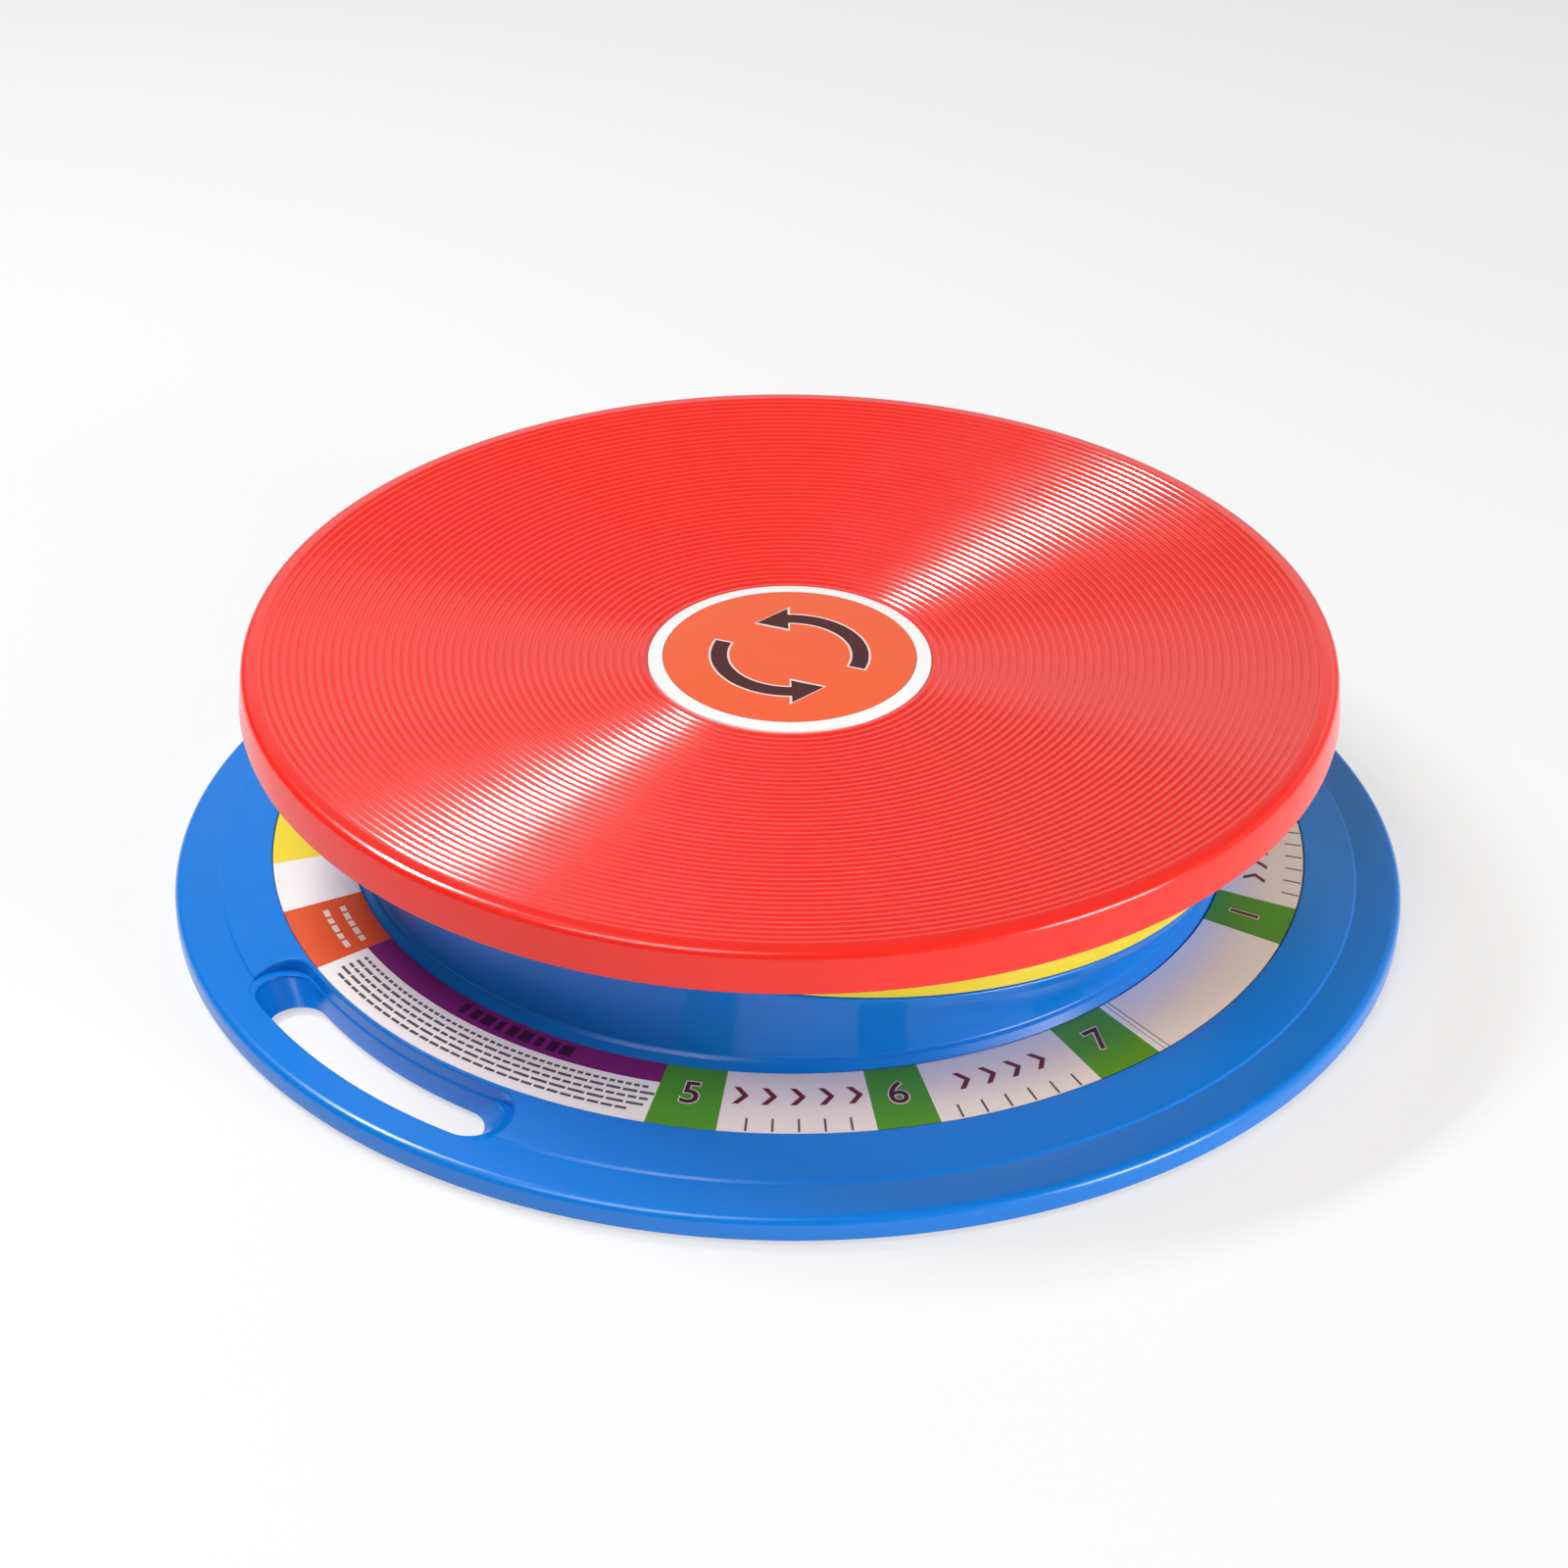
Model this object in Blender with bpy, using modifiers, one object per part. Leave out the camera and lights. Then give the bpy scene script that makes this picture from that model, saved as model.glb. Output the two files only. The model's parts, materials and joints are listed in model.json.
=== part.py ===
"""Spinning balance board: a blue base with a hand slot and a slanted drum, a yellow wedge ring that
turns on the drum to set the tilt, and a red disc that spins on balls on the wedge ring.

Units are metres and +Z is up. The origin is the middle of the base at floor level, and the hand slot
lies towards -Y. The drum's top slopes down towards SLOPE_HEADING. The wedge ring is as steep as the
drum's top, so at a setting of zero it levels the disc, and half a turn further it doubles the tilt.
"""
import math

import bmesh
import bpy
from mathutils import Matrix, Vector

MM = 0.001

# Clearances
SEAT_GAP = 0.3 * MM         # between pieces that sit on or in each other
RUN_GAP = 0.5 * MM          # between pieces that turn past each other
CUT_OVER = 2.0 * MM         # how far a cutter runs past the face that it opens

# Base shell, from the drum's foot out to the rim
BASE_WALL = 3.0 * MM
LABEL_WIDTH = 29.3 * MM
LABEL_RISE = 2.7 * MM       # how far the label's seat climbs from its outer to its inner edge
LABEL_RECESS = 1.2 * MM
INNER_DECK_WIDTH = 18.9 * MM
INNER_DECK_RISE = 4.8 * MM  # from the ridge up to the label
RIDGE_STEP = 0.7 * MM
OUTER_DECK_WIDTH = 14.2 * MM
OUTER_DECK_RISE = 1.2 * MM  # from the rim up to the ridge
RIM_ROUND = 3.2 * MM
RIM_HEIGHT = 8.4 * MM
RIM_CHAMFER = 1.0 * MM

# Drum in the middle of the base, with a slanted top
DRUM_FOOT_RADIUS = 161.0 * MM
DRUM_FLARE = 9.4 * MM       # how much wider the drum is at its top
DRUM_CURVE = 1.6            # exponent of the flare
DRUM_HEIGHT = 58.0 * MM     # of the middle of its top above the floor
DRUM_LEDGE_WIDTH = 3.4 * MM
DRUM_LEDGE_HEIGHT = 4.2 * MM
DRUM_EDGE = 0.9 * MM
DRUM_PLATE = 4.4 * MM
SLOPE_ANGLE = math.radians(6.5)
SLOPE_HEADING = math.radians(34.0)
SETTING_ANGLE = math.radians(20.0)
BASE_RIBS = 12
BASE_RIB_THICKNESS = 2.6 * MM

# Spigot on the drum's top, and the ring that keeps the wedge ring on it
SPIGOT_BORE = 31.0 * MM
SPIGOT_WALL = 9.0 * MM
SPIGOT_HEIGHT = 7.9 * MM
COLUMN_MARGIN = 3.0 * MM    # how much thicker than the spigot the column under it is
KEEPER_LAP = 6.0 * MM
KEEPER_THICKNESS = 2.0 * MM
KEEPER_SCREWS = 4

# Hand slot through the base
SLOT_HEADING = math.radians(-90.0)
SLOT_WIDTH = 22.4 * MM
SLOT_HALF_ANGLE = math.radians(13.9)  # to the middle of each round end, at the deck
SLOT_LIP = 1.3 * MM         # deck left between the label's recess and the slot
SLOT_END_STEP = math.radians(1.05)
SLOT_SIDE_STEP = 0.4 * MM
SLOT_STEP_DEPTH = 0.3 * MM  # of the step's floor below the ridge
SLOT_END_DRAFT = math.radians(2.2)
SLOT_SIDE_DRAFT = 1.0 * MM
SLOT_WALL = 2.6 * MM

# Bottom cover and rubber feet
COVER_THICKNESS = 3.0 * MM
COVER_RECESS = 0.3 * MM
COVER_SCREWS = 6
COVER_BOSS_RADIUS = 5.0 * MM
COVER_WALL = 4.0 * MM       # ring wall round the cover
FEET = 6
FOOT_RADIUS = 8.0 * MM
FOOT_PROUD = 2.0 * MM
FOOT_DEPTH = 2.2 * MM       # of each foot in its socket
FOOT_WALL = 2.4 * MM
FOOT_CHAMFER = 0.8 * MM

# Friction ring between the drum and the wedge ring
FRICTION_SETBACK = 24.4 * MM  # from the drum's top edge
FRICTION_WIDTH = 18.0 * MM
FRICTION_THICKNESS = 1.8 * MM
FRICTION_RECESS = 1.6 * MM

# Wedge ring
WEDGE_THIN_EDGE = 3.2 * MM  # its height above the drum at the thin side
WEDGE_WALL = 3.2 * MM
WEDGE_ROOF = 3.0 * MM
WEDGE_PAD_MARGIN = 2.0 * MM
WEDGE_RIBS = 8
WEDGE_RIB_THICKNESS = 3.0 * MM
WELL_CLEARANCE = 4.0 * MM   # between the keeper ring and the well round it

# Hub: the plate, bolt, washers and nut that hold the disc down
HUB_PLATE_LAP = 12.0 * MM
HUB_PLATE_THICKNESS = 3.0 * MM
HUB_SCREWS = 4
BOLT_RADIUS = 4.0 * MM
BOLT_HEAD_RADIUS = 12.5 * MM
BOLT_HEAD_THICKNESS = 2.4 * MM
BOLT_END = 1.0 * MM         # how far the bolt stands out of the nut
THRUST_WASHER_RADIUS = 16.0 * MM
THRUST_WASHER_THICKNESS = 1.2 * MM
NUT_WASHER_RADIUS = 10.0 * MM
NUT_WASHER_THICKNESS = 1.5 * MM
NUT_RADIUS = 7.5 * MM
NUT_HEIGHT = 7.2 * MM
BUSH_WALL = 2.5 * MM

# Ball bearing between the wedge ring and the disc
BALLS = 16
BALL_RADIUS = 2.5 * MM
BALL_SETBACK = 45.4 * MM    # from the drum's top edge to the balls' circle
BALL_CLEARANCE = 0.5 * MM   # between a ball and its groove
RACE_WIDTH = 16.0 * MM
RACE_FLOOR = 1.2 * MM       # metal left under the groove
RACE_SPACING = 2.0 * MM
RACE_LIP_WIDTH = 3.0 * MM
RACE_LIP_HEIGHT = 2.0 * MM
CAGE_THICKNESS = 1.2 * MM
CAGE_MARGIN = 4.0 * MM      # of the cage beyond the balls on each side

# Disc
DISC_RADIUS = 200.0 * MM
DISC_WALL = 3.0 * MM
DISC_OVER_RACE = 2.0 * MM   # least wall between the upper race and the dish
DISH_DEPTH = 11.5 * MM
DISH_CURVE = 1.4            # exponent of the dish
DISH_BORDER = 9.0 * MM      # from the dish's end to the disc's lower edge
DISH_INSET = 2.1 * MM       # how far inside the hub cap's edge the dish starts
DISC_SHOULDER = 3.2 * MM
DISC_SKIRT_HEIGHT = 14.7 * MM
DISC_SKIRT_FLARE = 1.8 * MM
DISC_HUB_WALL = 2.7 * MM
DISC_HUB_MARGIN = 5.0 * MM  # of the hub beyond the bolt head's pocket
DISC_RIBS = 12
DISC_RIB_THICKNESS = 2.4 * MM
DISC_RIB_RISE = 1.0 * MM    # of the ribs' lower edges above the skirt's

# Hub cap and printed labels
CAP_RADIUS = 52.1 * MM
CAP_POCKET_DEPTH = 2.0 * MM
CAP_PROUD = 1.0 * MM
CAP_BEVEL_WIDTH = 4.3 * MM
CAP_BEVEL_DROP = 0.4 * MM
CAP_FLAT = 1.1 * MM         # flat white edge round the orange label
CAP_LABEL_THICKNESS = 0.4 * MM
LABEL_THICKNESS = 0.5 * MM

# Small screws
SCREW_HEAD_RADIUS = 3.0 * MM
SCREW_HEAD_HEIGHT = 1.6 * MM
SCREW_CROWN_RADIUS = 2.2 * MM
SCREW_SHANK_RADIUS = 1.5 * MM
SCREW_LENGTH = 6.0 * MM
SCREW_TIP = 0.8 * MM

# Facets round each kind of turned piece, and along the curves of a section
BIG_STEPS = 48
MEDIUM_STEPS = 24
SMALL_STEPS = 16
SCREW_STEPS = 8
NUT_SIDES = 6
ROUND_STEPS = 2
WALL_STEPS = 3
DISH_STEPS = 6
GROOVE_STEPS = 3
SLOT_END_STEPS = 6
SLOT_SIDE_STEPS = 6
MERGE_DISTANCE = 0.01 * MM
SHARP_ANGLE = math.radians(32)

# Base radii and heights above the floor, that follow from the sizes above
drum_top_radius = DRUM_FOOT_RADIUS + DRUM_FLARE
label_inner_radius = DRUM_FOOT_RADIUS + DRUM_LEDGE_WIDTH
label_outer_radius = label_inner_radius + LABEL_WIDTH
ridge_radius = label_outer_radius + INNER_DECK_WIDTH
rim_start_radius = ridge_radius + OUTER_DECK_WIDTH
base_radius = rim_start_radius + RIM_ROUND
rim_inside_radius = base_radius - BASE_WALL
rim_bottom = FOOT_PROUD
rim_top = rim_bottom + RIM_HEIGHT
ridge_height = rim_top + OUTER_DECK_RISE
inner_deck_start = ridge_height + RIDGE_STEP
inner_deck_end = inner_deck_start + INNER_DECK_RISE
label_seat_outer = inner_deck_end - LABEL_RECESS
label_seat_inner = label_seat_outer + LABEL_RISE
ledge_top = label_seat_inner + DRUM_LEDGE_HEIGHT
cover_bottom = rim_bottom + COVER_RECESS
cover_top = cover_bottom + COVER_THICKNESS
inside_bottom = cover_top + SEAT_GAP
cover_wall_outer = label_outer_radius - RUN_GAP
cover_wall_inner = cover_wall_outer - COVER_WALL
cover_radius = cover_wall_inner - SEAT_GAP
cover_screw_radius = (label_inner_radius + cover_wall_inner) / 2
foot_circle = (cover_wall_outer + rim_inside_radius) / 2
column_radius = SPIGOT_BORE + SPIGOT_WALL + COLUMN_MARGIN

# Heights above the drum's top along the wedge ring's axis
spigot_radius = SPIGOT_BORE + SPIGOT_WALL
friction_outer = drum_top_radius - FRICTION_SETBACK
friction_inner = friction_outer - FRICTION_WIDTH
friction_bottom = SEAT_GAP - FRICTION_RECESS
wedge_bottom = friction_bottom + FRICTION_THICKNESS + SEAT_GAP
keeper_bottom = SPIGOT_HEIGHT + SEAT_GAP
keeper_top = keeper_bottom + KEEPER_THICKNESS
keeper_radius = spigot_radius + KEEPER_LAP
keeper_screw_circle = SPIGOT_BORE + SPIGOT_WALL / 2
flange_top = keeper_bottom - SEAT_GAP
well_radius = keeper_radius + WELL_CLEARANCE

# Heights above the drum's top along the disc's axis, which leans by the slope from the ring's
wedge_height = (WEDGE_THIN_EDGE + drum_top_radius * math.tan(SLOPE_ANGLE)) * math.cos(SLOPE_ANGLE)
ball_circle = drum_top_radius - BALL_SETBACK
groove_radius = BALL_RADIUS + BALL_CLEARANCE
race_thickness = groove_radius - RACE_SPACING / 2 + RACE_FLOOR
race_inner = ball_circle - RACE_WIDTH / 2
race_outer = ball_circle + RACE_WIDTH / 2
lower_race_bottom = wedge_height + SEAT_GAP
lower_race_top = lower_race_bottom + race_thickness
upper_race_bottom = lower_race_top + RACE_SPACING
upper_race_top = upper_race_bottom + race_thickness
ball_height = (lower_race_top + upper_race_bottom) / 2
race_seat = upper_race_top + SEAT_GAP
dish_start = CAP_RADIUS - DISH_INSET
dish_end = DISC_RADIUS - DISH_BORDER


def dish_rise(radius):
    """How far the disc's dished top lies above its middle."""
    share = max(radius - dish_start, 0) / (dish_end - dish_start)
    return DISH_DEPTH * min(share, 1.0) ** DISH_CURVE


disc_level = race_seat + DISC_OVER_RACE - dish_rise(race_inner)
skirt_bottom = disc_level + DISH_DEPTH - DISC_SKIRT_HEIGHT
pocket_floor = disc_level - CAP_POCKET_DEPTH
cap_bottom = pocket_floor + SEAT_GAP
cap_top = disc_level + CAP_PROUD
bolt_head_top = cap_bottom - SEAT_GAP
bolt_head_bottom = bolt_head_top - BOLT_HEAD_THICKNESS
hub_floor = bolt_head_bottom - SEAT_GAP
hub_bottom = hub_floor - DISC_HUB_WALL
thrust_top = hub_bottom - SEAT_GAP
hub_plate_top = thrust_top - THRUST_WASHER_THICKNESS - SEAT_GAP
hub_plate_bottom = hub_plate_top - HUB_PLATE_THICKNESS
hub_plate_radius = well_radius + HUB_PLATE_LAP
hub_screw_circle = well_radius + HUB_PLATE_LAP / 2
nut_washer_top = hub_plate_bottom - SEAT_GAP
nut_top = nut_washer_top - NUT_WASHER_THICKNESS - SEAT_GAP
nut_bottom = nut_top - NUT_HEIGHT


# Scene, collections, materials and the frames that carry what turns

def clear_scene():
    for item in list(bpy.data.objects):
        bpy.data.objects.remove(item, do_unlink=True)


def new_collection(name, parent):
    group = bpy.data.collections.new(name)
    parent.children.link(group)
    return group


def make_material(name, colour, roughness, metallic=0.0):
    material = bpy.data.materials.new(name)
    material.use_nodes = True
    shader = material.node_tree.nodes["Principled BSDF"]
    shader.inputs["Base Color"].default_value = (*colour, 1.0)
    shader.inputs["Roughness"].default_value = roughness
    shader.inputs["Metallic"].default_value = metallic
    return material


def new_frame(name, matrix, parent=None):
    """An empty that carries the pieces of one axis."""
    frame = bpy.data.objects.new(name, None)
    parts.objects.link(frame)
    frame.parent = parent
    frame.matrix_local = matrix
    return frame


clear_scene()
parts = new_collection("spinning_balance_board", bpy.context.scene.collection)
tools = new_collection("cutters", bpy.context.scene.collection)

BLUE = make_material("base_blue", (0.0, 0.2, 0.73), 0.25)
RED = make_material("disc_red", (0.93, 0.04, 0.025), 0.28)
YELLOW = make_material("wedge_yellow", (0.93, 0.72, 0.03), 0.3)
WHITE = make_material("cap_white", (0.9, 0.88, 0.85), 0.3)
ORANGE = make_material("hub_label_orange", (0.9, 0.17, 0.06), 0.4)
CREAM = make_material("label_cream", (0.82, 0.7, 0.66), 0.45)
RUBBER = make_material("rubber_black", (0.02, 0.02, 0.022), 0.8)
NYLON = make_material("nylon_natural", (0.78, 0.76, 0.7), 0.5)
STEEL = make_material("zinc_steel", (0.6, 0.6, 0.6), 0.3, 1.0)

tip_axis = Vector((-math.sin(SLOPE_HEADING), math.cos(SLOPE_HEADING), 0))
drum_middle = Matrix.Translation((0, 0, DRUM_HEIGHT))
slope_frame = new_frame("slope_frame", drum_middle @ Matrix.Rotation(SLOPE_ANGLE, 4, tip_axis))
ring_frame = new_frame("ring_frame", Matrix.Rotation(SLOPE_HEADING + SETTING_ANGLE, 4, "Z"), slope_frame)
disc_frame = new_frame("disc_frame", Matrix.Rotation(-SLOPE_ANGLE, 4, "Y"), ring_frame)
cage_frame = new_frame("cage_frame", Matrix.Identity(4), disc_frame)


# Modelling helpers

def add_object(name, mesh, material, parent, group):
    item = bpy.data.objects.new(name, mesh)
    group.objects.link(item)
    item.parent = parent
    if material is not None:
        mesh.materials.clear()
        mesh.materials.append(material)
    if group is not parts:
        item.display_type = "WIRE"
        item.hide_render = True
    return item


def bake(item):
    """Replace an object's mesh by its evaluated one and drop its modifiers."""
    bpy.context.view_layer.update()
    graph = bpy.context.evaluated_depsgraph_get()
    mesh = bpy.data.meshes.new_from_object(item.evaluated_get(graph))
    item.modifiers.clear()
    item.data = mesh


def shade(item):
    item.data.shade_smooth()
    item.data.set_sharp_from_angle(angle=SHARP_ANGLE)


def turned(name, outline, material, steps, parent=None, group=None):
    """A closed outline of (radius, height) points, clockwise, turned about Z."""
    mesh = bpy.data.meshes.new(name)
    work = bmesh.new()
    points = [work.verts.new((radius, 0, height)) for radius, height in outline]
    pairs = list(zip(points, points[1:]))
    if outline[0][0] > 0:
        pairs.append((points[-1], points[0]))
    for pair in pairs:
        work.edges.new(pair)
    work.to_mesh(mesh)
    work.free()
    item = add_object(name, mesh, material, parent, group or parts)
    turn = item.modifiers.new("turn", "SCREW")
    turn.steps = steps
    turn.render_steps = steps
    turn.use_merge_vertices = True
    turn.merge_threshold = MERGE_DISTANCE
    bake(item)
    shade(item)
    return item


def ring_outline(inner, outer, low, high):
    return [(outer, high), (outer, low), (inner, low), (inner, high)]


def disc_outline(radius, low, high):
    return [(0, high), (radius, high), (radius, low), (0, low)]


def blade(name, outline, thickness, angle, group, parent=None):
    """A flat rib: an outline of (radius, height) points with a thickness, turned about Z."""
    mesh = bpy.data.meshes.new(name)
    work = bmesh.new()
    face = work.faces.new([work.verts.new((radius, -thickness / 2, height)) for radius, height in outline])
    grown = bmesh.ops.extrude_face_region(work, geom=[face])["geom"]
    moved = [item for item in grown if isinstance(item, bmesh.types.BMVert)]
    bmesh.ops.translate(work, verts=moved, vec=(0, thickness, 0))
    bmesh.ops.recalc_face_normals(work, faces=work.faces)
    bmesh.ops.rotate(work, verts=work.verts, matrix=Matrix.Rotation(angle, 3, "Z"))
    work.to_mesh(mesh)
    work.free()
    return add_object(name, mesh, None, parent, group)


def polar(radius, angle, height=0.0):
    return Vector((radius * math.cos(angle), radius * math.sin(angle), height))


def spread(count, start=0.0):
    return [start + 2 * math.pi * index / count for index in range(count)]


def holes(name, radius, low, high, circle, angles, parent):
    """A collection of round cutters on a circle."""
    group = new_collection(name, tools)
    for index, angle in enumerate(angles):
        outline = disc_outline(radius, low, high)
        hole = turned(f"{name}_{index + 1}", outline, None, SCREW_STEPS, parent, group)
        hole.location = polar(circle, angle)
    return group


def combine(target, group, operation):
    """Join a piece with, or cut it by, every shape of a collection."""
    step = target.modifiers.new(operation.lower(), "BOOLEAN")
    step.operation = operation
    step.solver = "EXACT"
    step.operand_type = "COLLECTION"
    step.collection = group
    bake(target)
    shade(target)


def arc(centre_radius, centre_height, size, start, end, count):
    """Points on a round between two angles in degrees."""
    points = []
    for index in range(count + 1):
        angle = math.radians(start + (end - start) * index / count)
        points.append((centre_radius + size * math.cos(angle), centre_height + size * math.sin(angle)))
    return points


# Base shell

def deck_height(radius):
    """Height of the deck's top surface, and of the label's seat, at a radius."""
    if radius >= rim_start_radius:
        return rim_top
    if radius >= ridge_radius:
        return ridge_height - OUTER_DECK_RISE * (radius - ridge_radius) / OUTER_DECK_WIDTH
    if radius >= label_outer_radius:
        return inner_deck_end - INNER_DECK_RISE * (radius - label_outer_radius) / INNER_DECK_WIDTH
    return label_seat_inner - LABEL_RISE * (radius - label_inner_radius) / LABEL_WIDTH


def deck_middle(radius):
    return deck_height(radius) - BASE_WALL / 2


def drum_wall(share, inset=0.0):
    """A point of the drum's wall between its ledge (0) and its top edge (1), before it is tipped."""
    radius = DRUM_FOOT_RADIUS + DRUM_FLARE * share ** DRUM_CURVE
    return radius - inset, ledge_top + (DRUM_HEIGHT - DRUM_EDGE - ledge_top) * share


def base_outline():
    """The shell's section: spigot, drum top, drum wall, deck and rim, then back along the inside."""
    groove_inner = friction_inner - SEAT_GAP
    groove_outer = friction_outer + SEAT_GAP
    groove_floor = DRUM_HEIGHT - FRICTION_RECESS
    spigot_top = DRUM_HEIGHT + SPIGOT_HEIGHT
    outline = [(SPIGOT_BORE, spigot_top), (spigot_radius, spigot_top), (spigot_radius, DRUM_HEIGHT)]
    outline += [(groove_inner, DRUM_HEIGHT), (groove_inner, groove_floor)]
    outline += [(groove_outer, groove_floor), (groove_outer, DRUM_HEIGHT)]
    outline += [(drum_top_radius - DRUM_EDGE, DRUM_HEIGHT)]
    outline += [drum_wall(1 - step / WALL_STEPS) for step in range(WALL_STEPS + 1)]
    outline += [(DRUM_FOOT_RADIUS + DRUM_EDGE, ledge_top - DRUM_EDGE)]
    outline += [(label_inner_radius, label_seat_inner), (label_outer_radius, label_seat_outer)]
    outline += [(label_outer_radius, inner_deck_end)]
    outline += [(ridge_radius, inner_deck_start), (ridge_radius + RIDGE_STEP, ridge_height)]
    outline += arc(rim_start_radius, rim_top - RIM_ROUND, RIM_ROUND, 90, 0, ROUND_STEPS)
    outline += [(base_radius, rim_bottom + RIM_CHAMFER), (base_radius - RIM_CHAMFER, rim_bottom)]
    outline += [(rim_inside_radius, rim_bottom), (rim_inside_radius, rim_top - BASE_WALL)]
    outline += [(ridge_radius, ridge_height - BASE_WALL)]
    outline += [(cover_wall_outer, deck_middle(label_outer_radius) - BASE_WALL)]
    outline += [(cover_wall_outer, rim_bottom), (cover_wall_inner, rim_bottom)]
    outline += [(cover_wall_inner, label_seat_outer - BASE_WALL)]
    outline += [(label_inner_radius, label_seat_inner - BASE_WALL)]
    outline += [drum_wall(0, BASE_WALL), drum_wall(1 / 2, BASE_WALL)]
    plate_bottom = DRUM_HEIGHT - DRUM_PLATE
    outline += [(drum_top_radius - 2 * BASE_WALL, plate_bottom), (column_radius, plate_bottom)]
    outline += [(column_radius, inside_bottom), (SPIGOT_BORE, inside_bottom)]
    return outline


def base_rib_outline():
    """One rib runs under the whole shell, from the column in its middle to the rim."""
    half = BASE_WALL / 2
    start = column_radius - half
    end = rim_inside_radius + half
    step = cover_wall_outer - half
    outer_low = rim_bottom + RIM_CHAMFER
    plate_middle = DRUM_HEIGHT - DRUM_PLATE / 2
    outline = [(start, inside_bottom), (step, inside_bottom), (step, outer_low), (end, outer_low)]
    outline += [(end, rim_top - BASE_WALL - half), (rim_inside_radius, deck_middle(rim_inside_radius))]
    outline += [(ridge_radius, deck_middle(ridge_radius))]
    outline += [(label_outer_radius + half, deck_middle(label_outer_radius) - LABEL_RECESS)]
    outline += [(label_inner_radius, deck_middle(label_inner_radius))]
    outline += [drum_wall(0, half), drum_wall(1 / 2, half)]
    outline += [(drum_top_radius - 2 * BASE_WALL, plate_middle), (start, plate_middle)]
    return outline


def lean(item):
    """Tip the drum: nothing moves below its ledge, and its top turns by the whole slope."""
    pivot = Vector((0, 0, DRUM_HEIGHT))
    reach = DRUM_HEIGHT - DRUM_PLATE - ledge_top
    work = bmesh.new()
    work.from_mesh(item.data)
    bmesh.ops.triangulate(work, faces=work.faces)
    for vertex in work.verts:
        share = min(max((vertex.co.z - ledge_top) / reach, 0.0), 1.0)
        turn = Matrix.Rotation(SLOPE_ANGLE * share, 3, tip_axis)
        vertex.co = pivot + turn @ (vertex.co - pivot)
    work.to_mesh(item.data)
    work.free()


def slot_loop(work, half_angle, inner, outer, level):
    """One closed outline of the hand slot: two arcs about the base's axis joined by round ends."""
    middle = (inner + outer) / 2
    size = (outer - inner) / 2
    places = []
    for side, radius in ((1, outer), (-1, inner)):
        for index in range(SLOT_SIDE_STEPS + 1):
            angle = SLOT_HEADING + side * half_angle * (2 * index / SLOT_SIDE_STEPS - 1)
            places.append(polar(radius, angle))
        end_angle = SLOT_HEADING + side * half_angle
        facing = end_angle if side > 0 else end_angle + math.pi
        for index in range(1, SLOT_END_STEPS):
            swing = math.pi * index / SLOT_END_STEPS
            places.append(polar(middle, end_angle) + polar(size, facing + swing))
    for place in places:
        place.z = level(place.length)
    return [work.verts.new(place) for place in places]


def slot_solid(name, layers, group):
    """A solid lofted through slot outlines from the lowest up: (half angle, inner, outer, level)."""
    mesh = bpy.data.meshes.new(name)
    work = bmesh.new()
    rings = []
    for layer in layers:
        loop = slot_loop(work, *layer)
        rings.append([work.edges.new(pair) for pair in zip(loop, loop[1:] + loop[:1])])
    for lower, upper in zip(rings, rings[1:]):
        bmesh.ops.bridge_loops(work, edges=lower + upper)
    bmesh.ops.contextual_create(work, geom=rings[0])
    bmesh.ops.contextual_create(work, geom=rings[-1])
    bmesh.ops.triangulate(work, faces=work.faces)
    bmesh.ops.recalc_face_normals(work, faces=work.faces)
    work.to_mesh(mesh)
    work.free()
    return add_object(name, mesh, None, None, group)


def make_slot_shapes(sleeve_group, hole_group):
    """The slot has a shallow step at the deck, and walls that close in a little towards the floor."""
    inner = label_outer_radius + SLOT_LIP
    outer = inner + SLOT_WIDTH
    step_angle = SLOT_HALF_ANGLE + SLOT_END_STEP
    hole_inner = inner + SLOT_SIDE_STEP
    hole_outer = outer - SLOT_SIDE_STEP
    low_angle = SLOT_HALF_ANGLE - SLOT_END_DRAFT
    low_outer = hole_outer - SLOT_SIDE_DRAFT
    low_inner = hole_inner + SLOT_SIDE_STEP
    floor = ridge_height - SLOT_STEP_DEPTH
    below = rim_bottom - CUT_OVER
    above = inner_deck_end + CUT_OVER
    holes_up = [(low_angle, low_inner, low_outer, lambda radius: below)]
    holes_up += [(SLOT_HALF_ANGLE, hole_inner, hole_outer, lambda radius: floor)]
    holes_up += [(step_angle, inner, outer, lambda radius: floor)]
    holes_up += [(step_angle, inner, outer, lambda radius: above)]
    slot_solid("slot_hole", holes_up, hole_group)
    shelf = floor - SLOT_WALL
    wall = SLOT_WALL
    walls_up = [(low_angle, low_inner - wall, low_outer + wall, lambda radius: rim_bottom)]
    walls_up += [(step_angle, inner - wall, outer + wall, lambda radius: min(shelf, deck_middle(radius)))]
    walls_up += [(step_angle, inner - wall, outer + wall, deck_middle)]
    slot_solid("slot_sleeve", walls_up, sleeve_group)


def make_feet_bosses(group):
    """A boss under the deck holds each foot, and its top follows the deck."""
    radius = FOOT_RADIUS + SEAT_GAP + FOOT_WALL
    for index, angle in enumerate(foot_angles):
        outline = disc_outline(radius, rim_bottom, rim_top)
        boss = turned(f"foot_boss_{index + 1}", outline, None, SMALL_STEPS, None, group)
        boss.data.transform(Matrix.Rotation(math.pi / SMALL_STEPS, 4, "Z"))
        boss.location = polar(foot_circle, angle)
        for vertex in boss.data.vertices:
            if vertex.co.z > rim_bottom + MERGE_DISTANCE:
                vertex.co.z = deck_middle((vertex.co + boss.location).xy.length)


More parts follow.
